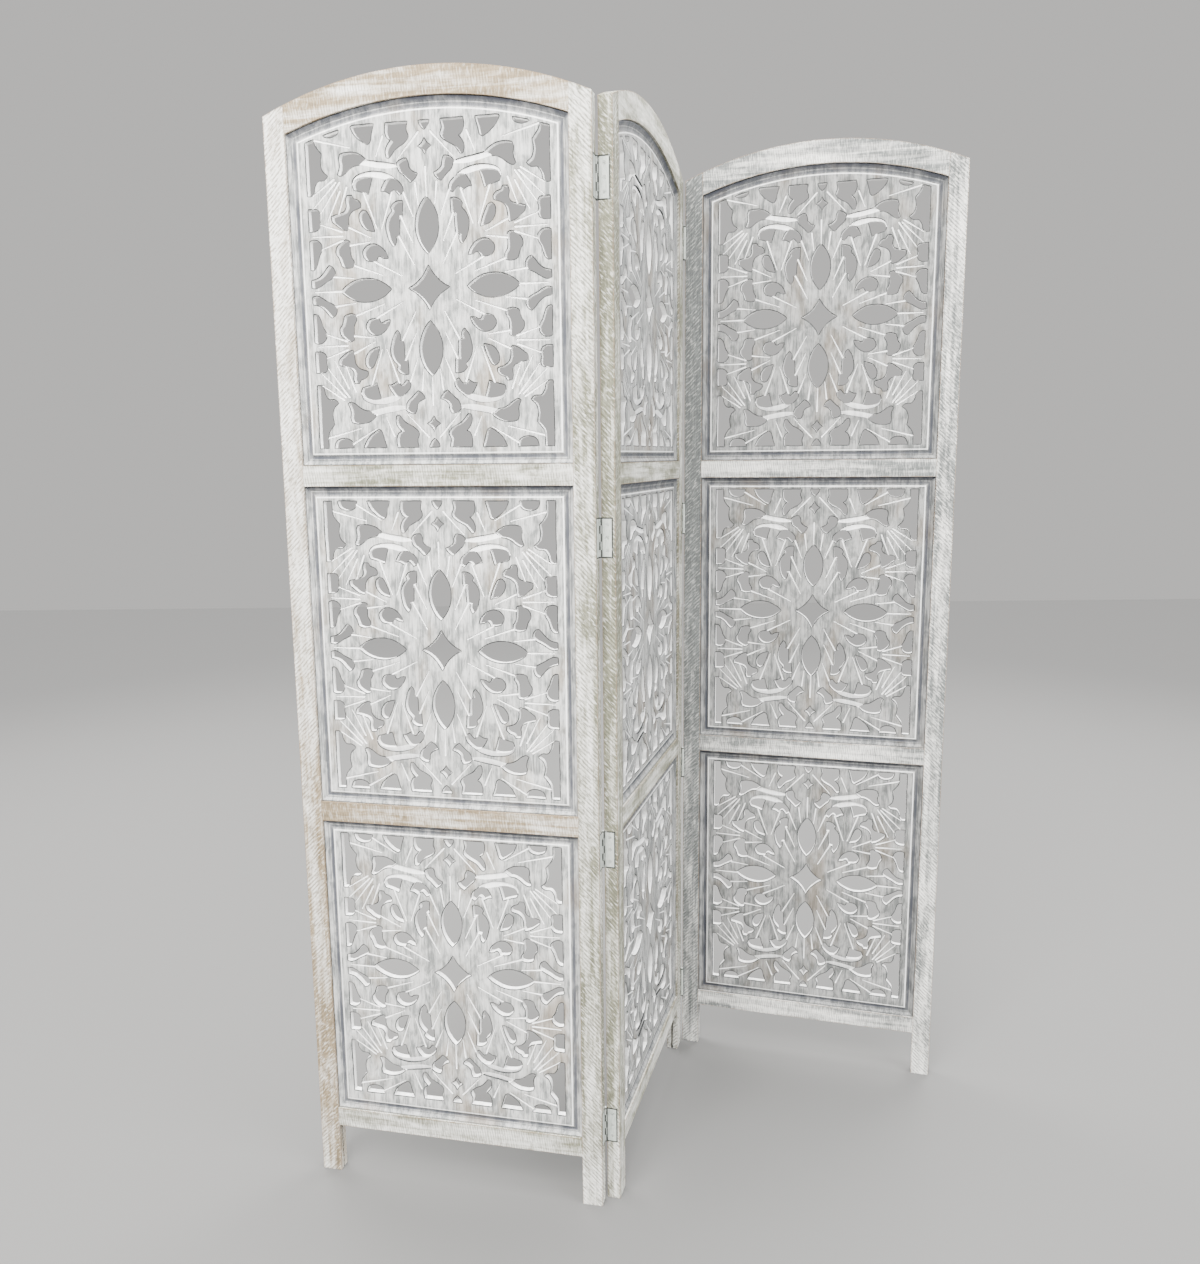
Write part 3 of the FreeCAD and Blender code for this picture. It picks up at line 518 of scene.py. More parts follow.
class Carving:
    """All the cuts of one panel, on the wood."""

    def __init__(self, field):
        self.field = field
        self.openings = [line for line in (opening_line(field, *drawn)
                                           for drawn in drawn_openings) if line]
        self.veins = [vein for vein in (self.vein(*drawn) for drawn in drawn_veins) if vein]
        self.bands = [band for band in (self.band(*drawn) for drawn in drawn_bands) if band]
        self.edges = tree_of([point for line in self.openings for point in line])

    def vein(self, ends, across, up):
        start, end = (wobbled(self.field.place(point, across, up), VEIN_LAYER)
                      for point in ends)
        for point in (start, end):
            if self.field.below_arch(point, ARCH_MARGIN) != point:
                return None
        return start, end

    def band(self, lines, across, up):
        upper, lower = ([self.field.place(point, across, up) for point in line] for line in lines)
        if any(self.field.below_arch(point, ARCH_MARGIN) != point for point in upper):
            return None
        return (smooth_curve(upper) + [upper[-1]], smooth_curve(lower) + [lower[-1]])

    def in_vein(self, point):
        """How near the point is to the middle of a vein: 1 on it, 0 at its edge."""
        deepest = 0.0
        for start, end in self.veins:
            if abs(point.y - (start.y + end.y) / 2) < NEAR_IN_HEIGHT:
                distance, share = distance_to_segment(point, start, end)
                half_width = VEIN_HALF_WIDTH * (1 - VEIN_TAPER * share)
                deepest = max(deepest, 1 - distance / half_width)
        return deepest

    def in_band(self, point):
        """How deep the point lies in a band: 1 at the foot of its wall, 0 outside it."""
        for upper, lower in self.bands:
            near = abs(point.y - upper[0].y) < NEAR_IN_HEIGHT
            if near and is_inside(point, upper + lower[::-1]):
                from_wall = distance_to_line(point, upper)
                from_foot = distance_to_line(point, lower)
                if from_wall + from_foot < LINES_MET:
                    return 0.0
                slope = from_foot / (from_wall + from_foot)
                return slope * min(1.0, from_wall / BAND_WALL)
        return 0.0

    def from_edge(self, point):
        return self.edges.find(point.to_3d())[2]

    def depth(self, point):
        worn = WEAR_DEPTH * max(0.0, 1 - self.from_edge(point) / WEAR_WIDTH)
        return max(worn, VEIN_DEPTH * self.in_vein(point), BAND_DEPTH * self.in_band(point))


carvings = {name: Carving(field) for name, field in fields.items()}
for name, carving in carvings.items():
    print(name, "panel:", len(carving.openings), "openings,", len(carving.veins), "veins,",
          len(carving.bands), "bands")

# %% [markdown]
# The lines that the face has to follow
#
# A face with over seventy holes is awkward to build by hand, but it is what a constrained
# triangulation is for: it is given all the lines that have to be edges, and it fills the rest
# with triangles. The lines are the border, the openings, the inner edges of their worn rims,
# and the edges of the veins and bands. The triangles inside an opening are thrown away.

# %% The lines that the face has to follow
VEIN_STEP = 0.008
SHARPEST_TURN = 0.3
SMALLEST_MM = 0.002


def offset_loop(loop, distance):
    """The closed line moved outwards, for the inner edge of the worn rim."""
    moved = []
    for place, point in enumerate(loop):
        before, after = loop[place - 1], loop[(place + 1) % len(loop)]
        ways = [(point - before).normalized(), (after - point).normalized()]
        way = ways[0] + ways[1]
        if way.length < SHARPEST_TURN:
            way = ways[0]
        way.normalize()
        moved.append(point + Vector((way.y, -way.x)) * distance)
    return moved


def cut_lines(carving):
    """Every open line that the triangulation has to follow: the veins' and the bands' edges."""
    lines = []
    for start, end in carving.veins:
        along = (end - start).normalized()
        aside = Vector((-along.y, along.x)) * VEIN_HALF_WIDTH
        thin = aside * (1 - VEIN_TAPER)
        tip = along * VEIN_HALF_WIDTH
        steps = max(2, round((end - start).length / VEIN_STEP))
        lines.append([start.lerp(end, step / steps) for step in range(steps + 1)])
        lines.append([start - tip, start + aside, end + thin, end + tip, end - thin,
                      start - aside, start - tip])
    for upper, lower in carving.bands:
        foot = []
        for point in upper[1:-1]:
            nearest = min(lower, key=lambda other: (other - point).length)
            way = nearest - point
            if way.length > 2 * BAND_WALL:
                foot.append(point + way.normalized() * BAND_WALL)
        lines += [upper, lower, foot]
    return [line for line in lines if len(line) > 1]


def triangulate(carving):
    """The carved face as flat points and the triangles between them."""
    points, edges, faces = [], [], []

    def add_line(line, closed):
        first = len(points)
        points.extend(line)
        numbers = list(range(first, len(points)))
        after = numbers[1:] + numbers[:1] if closed else numbers[1:]
        edges.extend(zip(numbers, after))
        return numbers

    faces.append(add_line(border_line(carving.field, rim_inset), True))
    for loop in carving.openings:
        faces.append(add_line(loop, True))
    for loop in carving.openings:
        add_line(offset_loop(loop, WEAR_WIDTH), True)
    for line in cut_lines(carving):
        add_line(line, False)
    # Triangulating in millimetres keeps the numbers well away from rounding.
    scaled = [point * MM_IN_METRE for point in points]
    flat, _, triangles, _, _, sources = delaunay_2d_cdt(scaled, edges, faces, 0, SMALLEST_MM)
    kept = [tuple(triangle) for triangle, source in zip(triangles, sources) if source == [0]]
    return [Vector(point) / MM_IN_METRE for point in flat], kept


faces_of = {name: triangulate(carving) for name, carving in carvings.items()}
for name, (flat, triangles) in faces_of.items():
    print(name, "panel:", len(flat), "points,", len(triangles), "triangles")

# %% [markdown]
# What the brush has to know
#
# Paint doesn't lie evenly: it is white on the sawn walls and on the bands, and on the bands'
# slopes that white is partly painted highlight. A thin dark line of painted shade runs round
# every opening and under each band's wall. A painted image could hold that, but it would have
# to be fine enough for each line. The mesh can carry it instead, in named attributes: how deep
# a point lies in a vein, how much stain and painted shade lies on it, and which faces are white
# or carry painted shade. The finish reads them by name.

# %% What the brush has to know
VEIN, STAIN_AND_SHADE, WHITE_FACE, SHADE_FACE = "vein", "stain", "white_face", "shade_face"
# A triangle of the worn rim that takes painted shade touches the opening and reaches no further
# than the rim does.
SHADE_FROM = WEAR_WIDTH / 4
SHADE_TO = WEAR_WIDTH * 1.05


def paint_of(carving, corners):
    """Which of the two face attributes a triangle of the carved face gets, if any."""
    centre = sum(corners, Vector((0, 0))) / 3
    if carving.in_band(centre) > 0:
        upper = min((upper for upper, _ in carving.bands),
                    key=lambda line: distance_to_line(centre, line))
        # A band's wall takes painted shade, the shadow in its step.
        return SHADE_FACE if distance_to_line(centre, upper) < BAND_WALL else WHITE_FACE
    # The worn rim round each opening takes a thin line of painted shade, the shadow at the sawn
    # wall's edge.
    from_edge = sorted(carving.from_edge(corner) for corner in corners)
    if from_edge[0] < SHADE_FROM and from_edge[-1] < SHADE_TO:
        return SHADE_FACE
    return None


def outer_sides(triangles):
    """The sides that belong to one triangle only, in that triangle's direction."""
    sides = set()
    for triangle in triangles:
        for a, b in zip(triangle, triangle[1:] + triangle[:1]):
            if (b, a) in sides:
                sides.remove((b, a))
            else:
                sides.add((a, b))
    return sides


print("the top panel has", len(outer_sides(faces_of["top"][1])), "sides without a neighbour")

# %% [markdown]
# Settling a mesh
#
# Code builds a mesh as a bmesh, which knows every face's neighbours, and an object shows it as
# mesh data. Each mesh is settled in the same way: it is smooth, but its edges stay sharp where
# a tool would have left them so. A sound mesh has no edge that joins fewer or more than two
# faces, so those are counted.

# %% Settling a mesh
SHARP_EDGE = math.radians(24)


def settle(mesh, name):
    """Turns the bmesh into mesh data that is smooth but for its sharp edges."""
    open_edges = sum(1 for edge in mesh.edges if len(edge.link_faces) != 2)
    data = bpy.data.meshes.new(name)
    mesh.to_mesh(data)
    mesh.free()
    data.polygons.foreach_set("use_smooth", [True] * len(data.polygons))
    data.set_sharp_from_angle(angle=SHARP_EDGE)
    print(name, "has", len(data.polygons), "faces and", open_edges, "edges without two faces")
    return data


# %% [markdown]
# The panel as a mesh
#
# The triangles are used twice, for the front and for the back, each point pushed in by its own
# depth. The edges round each opening are then joined from front to back, which makes the sawn
# walls. The border's profile is swept round both faces, and the outermost lines close the mesh.

# %% The panel as a mesh
ON_RIM = 1e-5
WELD = 2e-6


class PanelMesh:
    """One carved panel while it is put together, front and back."""

    def __init__(self, name):
        self.name, self.field, self.carving = name, fields[name], carvings[name]
        self.flat, self.triangles = faces_of[name]
        self.used = sorted({number for triangle in self.triangles for number in triangle})
        self.mesh = bmesh.new()
        self.vein = self.mesh.verts.layers.float.new(VEIN)
        self.stain = self.mesh.verts.layers.float.new(STAIN_AND_SHADE)
        self.paints = {paint: self.mesh.faces.layers.float.new(paint)
                       for paint in (WHITE_FACE, SHADE_FACE)}

    def add_face(self, corners, paint=None):
        if len(set(corners)) > 2:
            face = self.mesh.faces.new(corners)
            if paint:
                face[self.paints[paint]] = 1.0

    def add_points(self, depth_of):
        made = {}
        for number in self.used:
            point = self.flat[number]
            level = depth_of(self.carving.depth(point))
            made[number] = self.mesh.verts.new((point.x, level, point.y))
            made[number][self.vein] = self.carving.in_vein(point)
        return made

    def add_carved_faces(self):
        front = self.add_points(lambda depth: FIELD_DEPTH + depth)
        back = self.add_points(lambda depth: LEAF_THICKNESS - FIELD_DEPTH - depth)
        for triangle in self.triangles:
            paint = paint_of(self.carving, [self.flat[number] for number in triangle])
            self.add_face([front[number] for number in triangle], paint)
            self.add_face([back[number] for number in reversed(triangle)], paint)
        rim = tree_of(border_line(self.field, rim_inset))
        on_rim = {number for number in self.used
                  if rim.find(self.flat[number].to_3d())[2] < ON_RIM}
        for a, b in sorted(outer_sides(self.triangles)):
            if not (a in on_rim and b in on_rim):
                self.add_face([front[b], front[a], back[a], back[b]], WHITE_FACE)

    def add_border(self, depth_of, outwards):
        loops = []
        for inset, depth, beside, below in BORDER_PROFILE:
            loops.append([self.mesh.verts.new((point.x, depth_of(depth), point.y))
                          for point in border_line(self.field, inset)])
            for number, vertex in enumerate(loops[-1]):
                # Along the upper edge the stain also holds painted shade: the shadow that the frame
                # above casts.
                vertex[self.stain] = below if is_upper(number) else beside
        for (outer, inner), (inset, *_) in zip(zip(loops, loops[1:]), BORDER_PROFILE):
            for place in range(len(outer)):
                after = (place + 1) % len(outer)
                corners = [outer[place], outer[after], inner[after], inner[place]]
                self.add_face(corners if outwards else corners[::-1],
                              WHITE_FACE if inset >= RIM_START else None)
        return loops[0]

    def build(self):
        self.add_carved_faces()
        front_edge = self.add_border(lambda depth: depth, True)
        back_edge = self.add_border(lambda depth: LEAF_THICKNESS - depth, False)
        for place in range(len(front_edge)):
            after = (place + 1) % len(front_edge)
            self.add_face([front_edge[after], front_edge[place],
                           back_edge[place], back_edge[after]])
        bmesh.ops.remove_doubles(self.mesh, verts=self.mesh.verts, dist=WELD)
        return settle(self.mesh, self.name + "_panel_carving")


panel_meshes = {name: PanelMesh(name).build() for name in openings}

# %% [markdown]
# Floor and light
#
# The screen is nearly white, so everything round it is a step darker, or its pierced work
# would vanish. The light is that of a plain studio: an even grey world, a large key lamp high
# in front, so that every recess has a thin shadow under its upper edge, a fill on the right
# for the folded leaf, and two weak lamps behind so that the backs can be seen too. Lamps fade
# with distance and would leave the far floor dark, so a soft sun straight above evens it out:
# it hardly touches upright wood.

# %% The floor
FLOOR_SIZE = 14.0
FLOOR_TONE = (0.080, 0.079, 0.077, 1.0)
FLOOR_ROUGHNESS = 0.85

floor_mesh = bpy.data.meshes.new("floor")
half_floor = FLOOR_SIZE / 2
floor_mesh.from_pydata([(-half_floor, -half_floor, 0), (half_floor, -half_floor, 0),
                        (half_floor, half_floor, 0), (-half_floor, half_floor, 0)],
                       [], [(0, 1, 2, 3)])
floor = put_in("floor", floor_mesh)
floor_finish = bpy.data.materials.new("floor")
floor_finish.use_nodes = True
floor_shader = floor_finish.node_tree.nodes["Principled BSDF"]
floor_shader.inputs["Base Color"].default_value = FLOOR_TONE
floor_shader.inputs["Roughness"].default_value = FLOOR_ROUGHNESS
floor_mesh.materials.append(floor_finish)
print("floor", FLOOR_SIZE, "m across")

# %% The light
SKY_TONE = (0.62, 0.61, 0.595, 1.0)
LAMP_SIZE = 2.2
LAMP_AIM = Vector((0, 0, 0.9))
# Where each lamp stands, its power in watts, and its colour.
LAMPS = {
    "key": ((-1.1, -2.7, 3.3), 620, (1.0, 0.985, 0.96)),
    "fill": ((2.5, -1.9, 2.1), 210, (0.97, 0.985, 1.0)),
    "rear_left": ((-2.4, 2.4, 2.8), 260, (1.0, 0.99, 0.97)),
    "rear_right": ((2.2, 2.6, 2.8), 260, (1.0, 0.99, 0.97)),
}
CEILING_LIGHT = 13.0
CEILING_SPREAD = math.radians(40)

world = bpy.data.worlds.new("studio")
world.use_nodes = True
world.node_tree.nodes["Background"].inputs["Color"].default_value = SKY_TONE
bpy.context.scene.world = world

for name, (place, power, tone) in LAMPS.items():
    lamp = bpy.data.lights.new(name, "AREA")
    lamp.shape = "SQUARE"
    lamp.size = LAMP_SIZE
    lamp.energy = power
    lamp.color = tone
    holder = put_in(name, lamp)
    way = LAMP_AIM - Vector(place)
    holder.matrix_world = (Matrix.Translation(place)
                           @ way.to_track_quat("-Z", "Y").to_matrix().to_4x4())
    holder.visible_camera = False
ceiling = bpy.data.lights.new("ceiling", "SUN")
ceiling.energy = CEILING_LIGHT
ceiling.angle = CEILING_SPREAD
put_in("ceiling", ceiling)
print(len(LAMPS), "lamps and the ceiling")

# %% [markdown]
# A short way to write finishes
#
# A finish is a tree of nodes: noises that say where something happens, and mixes that say what
# happens there. Written out in full, each node takes four lines. This little class takes one,
# which keeps a finish readable as a recipe. Its noise takes how many waves there are in a metre
# along each axis, so a high number across the grain and a low one along it make streaks.

# %% A short way to write finishes
CREVICE_SAMPLES = 6
CREVICE_CLOSED, CREVICE_OPEN = 0.45, 0.85
SHINE = 0.12
AS_IT_IS = (1, 1, 1)
NO_SHIFT = (0, 0, 0)


class Finish:
    """One material, with short calls for the nodes that a finish is made of."""

    def __init__(self, name):
        self.material = bpy.data.materials.new(name)
        self.material.use_nodes = True
        self.tree = self.material.node_tree
        self.shader = self.tree.nodes["Principled BSDF"]
        # Limewash is chalky: it has next to no shine, even at a glancing angle.
        self.shader.inputs["Specular IOR Level"].default_value = SHINE

    def add(self, kind, inputs=None, **settings):
        node = self.tree.nodes.new(kind)
        for name, value in settings.items():
            setattr(node, name, value)
        for name, value in (inputs or {}).items():
            self.feed(node.inputs[name], value)
        return node

    def feed(self, socket, value):
        if isinstance(value, bpy.types.NodeSocket):
            self.tree.links.new(value, socket)
        else:
            socket.default_value = value

    def give(self, socket, value):
        """Feeds a value to one of the shader's own sockets."""
        self.feed(self.shader.inputs[socket], value)

    def place(self, to_leaf=None):
        """The point's place in the piece at rest, or in its leaf's own frame."""
        place = self.add("ShaderNodeTexCoord").outputs["Object"]
        if to_leaf is None:
            return place
        return self.stretch(place, AS_IT_IS, to_leaf.to_euler(), to_leaf.translation)

    def stretch(self, place, scale, turn=NO_SHIFT, shift=NO_SHIFT):
        return self.add("ShaderNodeMapping", {"Vector": place, "Scale": scale, "Rotation": turn,
                                              "Location": shift}).outputs["Vector"]

    def noise(self, place, waves, detail, roughness=0.6, distortion=0.0, shift=NO_SHIFT):
        """A noise from 0 to 1. The shift takes it from another place, so that no two match."""
        stretched = self.stretch(place, waves, shift=shift)
        return self.add("ShaderNodeTexNoise", {"Vector": stretched, "Scale": 1.0,
                                               "Detail": detail, "Roughness": roughness,
                                               "Distortion": distortion}).outputs["Fac"]

    def ramp(self, value, low, high, to_low=0.0, to_high=1.0):
        """A smooth step: to_low up to low, to_high from high on."""
        return self.add("ShaderNodeMapRange", {"Value": value, "From Min": low, "From Max": high,
                                               "To Min": to_low, "To Max": to_high},
                        interpolation_type="SMOOTHSTEP").outputs["Result"]

    def mix(self, share, first, second):
        # A mix node keeps a set of sockets for each kind of data: 6 and 7 are its colours.
        return self.add("ShaderNodeMix", {0: share, 6: first, 7: second},
                        data_type="RGBA").outputs[2]

    def math(self, how, first, second=0.0):
        return self.add("ShaderNodeMath", {0: first, 1: second}, operation=how).outputs[0]

    def times(self, first, second):
        return self.math("MULTIPLY", first, second)

    def plus(self, first, *others):
        for other in others:
            first = self.math("ADD", first, other)
        return first

    def join(self, x, y, z):
        return self.add("ShaderNodeCombineXYZ", {"X": x, "Y": y, "Z": z}).outputs["Vector"]

    def split(self, place):
        return self.add("ShaderNodeSeparateXYZ", {0: place}).outputs

    def mask(self, name):
        return self.add("ShaderNodeAttribute", attribute_name=name).outputs["Fac"]

    def crevice(self, reach):
        """1 in corners and cracks narrower than the reach, 0 on open surface."""
        open_share = self.add("ShaderNodeAmbientOcclusion", {"Distance": reach},
                              samples=CREVICE_SAMPLES).outputs["AO"]
        return self.ramp(open_share, CREVICE_CLOSED, CREVICE_OPEN, 1.0, 0.0)

    def bump(self, height, distance, strength, below=None):
        """A relief of the given height in metres, over another one if there is one below."""
        inputs = {"Height": height, "Distance": distance, "Strength": strength}
        if below is not None:
            inputs["Normal"] = below
        return self.add("ShaderNodeBump", inputs).outputs["Normal"]


print("finishes are written with", len([call for call in dir(Finish) if call[0] != "_"]), "calls")

# %% [markdown]
# How far a point is from an arris
#
# Wear starts at the arrises, so the finish of a board has to know how far a point is from the
# nearest one. That could be painted on by hand. Here the boards are plain, so it is worked out
# from the point's place in its leaf instead: from the straight sides, and from the arch.

# %% How far a point is from an arris
OUTER_ARCH_SIDE = 1.757
outer_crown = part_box("left_leaf_top_rail")[1][2]
outer_rise = outer_crown - OUTER_ARCH_SIDE
outer_radius = ((LEAF_WIDTH / 2) ** 2 + outer_rise ** 2) / (2 * outer_rise)
rail_boards = {f"{rail}_rail": levels for rail, levels in rail_levels.items()}


def from_arc(finish, axes, radius, crown):
    """How far a point is inside an arc of the leaf that has this radius and crown."""
    centre = (LEAF_WIDTH / 2, 0, crown - radius)
    # Only the upper half of the circle counts, so the levels below its centre are raised to it.
    flat = finish.join(axes["X"], 0.0, finish.math("MAXIMUM", axes["Z"], centre[2]))
    distance = finish.add("ShaderNodeVectorMath", {0: flat, 1: centre}, operation="DISTANCE")
    return finish.math("SUBTRACT", radius, distance.outputs["Value"])


def from_sides(finish, value, low, high):
    """How far a coordinate is from the nearer of two levels."""
    return finish.math("MINIMUM", finish.math("SUBTRACT", value, low),
                       finish.math("SUBTRACT", high, value))


def from_long_sides(finish, axes, member):
    """How far a point is inside its own board, seen from the front."""
    if member in rail_boards:
        return from_sides(finish, axes["Z"], *rail_boards[member])
    outer = from_arc(finish, axes, outer_radius, outer_crown)
    if member == "top_rail":
        inner = from_arc(finish, axes, arch_radius, arch_crown)
        return finish.math("MINIMUM", outer, finish.times(inner, -1.0))
    left = 0.0 if member.startswith("left") else LEAF_WIDTH - STILE_WIDTH
    straight = from_sides(finish, axes["X"], left, left + STILE_WIDTH)
    return finish.math("MINIMUM", straight, outer)


print("outer arch radius", round(outer_radius, 3), "m")

# %% [markdown]
# The coat on the boards
#
# The boards carry a thin white limewash over sawn mango wood, rubbed back, so that beige and
# grey show through along the grain. Long streaks of the grain and patches of a few centimetres
# say where the coat is thin. A share is added to both that differs from board to board, and
# from the foot of a leaf to its top, because the photo's boards are worn so unevenly. Where the
# sum is high, the coat is gone. The ramps' limits were set region by region.

# %% The coat on the boards
WASH_WHITE = (0.71, 0.70, 0.66, 1.0)
# For each tint of the wood, its colour under a thin coat and where the coat is gone.
TINTS = {
    "beige": ((0.270, 0.212, 0.138, 1.0), (0.118, 0.094, 0.062, 1.0)),
    "olive": ((0.205, 0.203, 0.150, 1.0), (0.078, 0.078, 0.054, 1.0)),
    "grey": ((0.178, 0.186, 0.182, 1.0), (0.062, 0.067, 0.065, 1.0)),
}
# A noise's waves in a metre, across, through and along the board, then its detail, its
# roughness and its distortion.
GRAIN = ((120, 120, 3.0), 5.0, 0.62, 0.3)
FINE_GRAIN = ((460, 460, 16), 3.0)
RUBBED = ((60, 60, 9.0), 5.0, 0.66, 0.4)
PATCHES = ((9, 9, 5.0), 3.0)
WEAR_LEVELS = (0.15, 1.65)
# The foot of each leaf is made lighter.
FOOT_LEVELS = (0.05, 0.14)
FOOT_LIGHTER = -0.12
EDGE_ZONE = 0.010
EDGE_RUB = 0.03


def worn_coat(finish, own, axes, aside, wear):
    """How thin the coat is, where it is gone, and the two patterns of the grain."""
    grain = finish.noise(own, *GRAIN)
    fine_grain = finish.noise(own, *FINE_GRAIN)
    patches = finish.noise(own, *PATCHES, shift=(4, 1, 2))
    thinner = finish.plus(finish.ramp(patches, 0.36, 0.64, -0.06, 0.06),
                          finish.ramp(axes["Z"], *WEAR_LEVELS, *wear),
                          finish.ramp(axes["Z"], *FOOT_LEVELS, FOOT_LIGHTER, 0.0),
                          finish.ramp(aside, 0.0, EDGE_ZONE, EDGE_RUB, 0.0))
    rubbed = finish.plus(finish.noise(own, *RUBBED), thinner)
    thin = finish.plus(finish.ramp(rubbed, 0.32, 0.72, 0.0, 0.75),
                       finish.ramp(finish.plus(grain, thinner), 0.46, 0.66, 0.0, 0.40))
    gone = finish.times(finish.ramp(rubbed, 0.56, 0.80),
                        finish.ramp(fine_grain, 0.34, 0.60, 0.30, 1.0))
    return thin, gone, grain, fine_grain


print(len(TINTS), "tints of wood under the coat")

# %% [markdown]
# The saw's teeth and the brush's strokes
#
# The circular saw has left slanting tooth marks on the stiles, and nearly square ones on the
# rails. They are even, so they are a wave texture, broken up by a noise. The brush has drawn
# short strokes over them, which are a noise stretched along the same slant: at one end of its
# range it leaves wood bare, at the other it leaves white. On a board's narrow sides its depth
# stands in for the direction across it, because those sides are worked like its face.

# %% The saw's teeth and the brush's strokes
SAW_PITCH = 0.0052
# At scale 1 a wave texture repeats at this many metres across its slanting bands.
WAVE_REPEAT = 0.444
SAW_WAVER = {"Distortion": 2.6, "Detail": 3.0, "Detail Scale": 0.30}
SAW_SLANT = math.radians(45)
SQUARE_ACROSS = (1.7, 1.7, 0.25)
SAW_PATCHES = ((110, 110, 40), 3.0, 0.7)
STROKES = ((380, 380, 80), 2.0, 0.5, 0.2)
DABS_ON_STILES, DABS_ON_RAILS = 0.55, 0.28
FEWER_DABS = 1.6
ARRIS = 0.0016


def narrow_sides_faced(finish, place, axes, aside, upright):
    """The place, with its depth turned to the front on the board's narrow sides."""
    turned = (finish.join(axes["Y"], axes["X"], axes["Z"]) if upright
              else finish.join(axes["X"], axes["Z"], axes["Y"]))
    on_side = finish.ramp(aside, 0.1 * ARRIS, 0.4 * ARRIS, 1.0, 0.0)
    return finish.mix(on_side, place, turned)


def tooth_marks(finish, place, own, mirror, upright):
    """The saw's even bands, and where they show through the coat."""
    sawn = finish.stretch(place, (mirror, mirror, 1) if upright else SQUARE_ACROSS)
    saw = finish.add("ShaderNodeTexWave", {"Vector": sawn, "Scale": WAVE_REPEAT / SAW_PITCH,
                                           **SAW_WAVER},
                     wave_type="BANDS", bands_direction="DIAGONAL").outputs["Fac"]
    saw_patches = finish.noise(own, *SAW_PATCHES, shift=(3, 1, 7))
    return saw, finish.times(finish.ramp(saw, 0.15, 0.65, 1.0, 0.0),
                             finish.ramp(saw_patches, 0.38, 0.56, 0.10, 1.0))


def brush_strokes(finish, faced, slant, shift, most_white):
    """Where the strokes of the brush leave wood bare, and where they leave white."""
    turned = finish.stretch(faced, AS_IT_IS, (0, slant, 0))
    strokes = finish.noise(turned, *STROKES, shift=shift)
    return finish.ramp(strokes, 0.54, 0.66), finish.ramp(strokes, 0.35, 0.46, most_white, 0.0)


print("saw pitch", SAW_PITCH * MM_IN_METRE, "mm, slant", round(math.degrees(SAW_SLANT)), "degrees")

# %% [markdown]
# Whitewashed wood
#
# Now the recipe of a board can be stacked up as the work itself was: white, thinned along the
# grain, marked by the saw and the brush, and rubbed to raw wood on the sharp arrises. The cracks
# are darkened with painted shade, found by ambient occlusion, so it lies where pieces really
# meet. The saw and the grain drive the bump as well, so that light picks up what the colour shows.

# %% Whitewashed wood
RAW_WOOD = (0.19, 0.128, 0.082, 1.0)
# The colour of the painted shade in crevices and on the screw heads.
PAINTED_SHADE = (0.065, 0.06, 0.058, 1.0)
CHIPS = ((130, 130, 130), 2.0)
GONE_SHARE = 0.7
TOOTH_ON_STILES, TOOTH_ON_RAILS = 0.68, 0.5
CREVICE_REACH = 0.0025
CREVICE_SHADE_SHARE, CREVICE_SHADE_UNDER_ARCH = 0.65, 0.4
RELIEF = 0.0003


def member_finish(leaf, member, tint, wear, shift):
    """The finish of one sawn member. wear is how much of the wash is rubbed away, at the foot
    of the leaf and at its top."""
    finish = Finish(f"{leaf}_{member}_wood")
    place = finish.place(leaf_frames[leaf].inverted())
    axes = finish.split(place)
    aside = from_long_sides(finish, axes, member)
    from_arris = finish.plus(aside, from_sides(finish, axes["Y"], 0.0, LEAF_THICKNESS))
    upright = member.endswith("stile")
    mirror = -1 if member.startswith("left") else 1

    own = finish.stretch(place, AS_IT_IS, (0, 0 if upright else math.pi / 2, 0), shift)
    thin, gone, grain, fine_grain = worn_coat(finish, own, axes, aside, wear)
    saw, tooth = tooth_marks(finish, place, own, mirror, upright)
    faced = narrow_sides_faced(finish, place, axes, aside, upright)
    most_white = (DABS_ON_STILES if upright else DABS_ON_RAILS) * (1 - FEWER_DABS * max(wear))
    scraped, dabs = brush_strokes(finish, faced, mirror * SAW_SLANT if upright else 0.0, shift,
                                  most_white)
    tooth = finish.math("MAXIMUM", tooth, scraped)

    thin_colour, bare_colour = TINTS[tint]
    tooth_share = TOOTH_ON_STILES if upright else TOOTH_ON_RAILS
    colour = finish.mix(thin, WASH_WHITE, thin_colour)
    colour = finish.mix(finish.times(tooth, tooth_share), colour, bare_colour)
    colour = finish.mix(finish.times(gone, GONE_SHARE), colour, bare_colour)
    colour = finish.mix(dabs, colour, WASH_WHITE)
    worn_arris = finish.times(finish.ramp(from_arris, 0.3 * ARRIS, ARRIS, 0.7, 0.0),
                              finish.ramp(finish.noise(place, *CHIPS), 0.36, 0.56, 0.25, 1.0))
    colour = finish.mix(worn_arris, colour, RAW_WOOD)
    # Ambient occlusion darkens corners and the joints between pieces: painted shade.
    crevice_shade_share = CREVICE_SHADE_UNDER_ARCH if member == "top_rail" else CREVICE_SHADE_SHARE
    crack = finish.times(finish.crevice(CREVICE_REACH), crevice_shade_share)
    finish.give("Base Color", finish.mix(crack, colour, PAINTED_SHADE))
    finish.give("Roughness", finish.ramp(grain, 0.3, 0.7, 0.86, 0.68))
    saw_relief = finish.bump(saw, RELIEF, 0.6)
    finish.give("Normal", finish.bump(fine_grain, RELIEF, 0.45, saw_relief))
    return finish.material


# Cracks are darkened with painted shade within this reach.
print("cracks are dirty within", MM_IN_METRE * CREVICE_REACH, "mm")
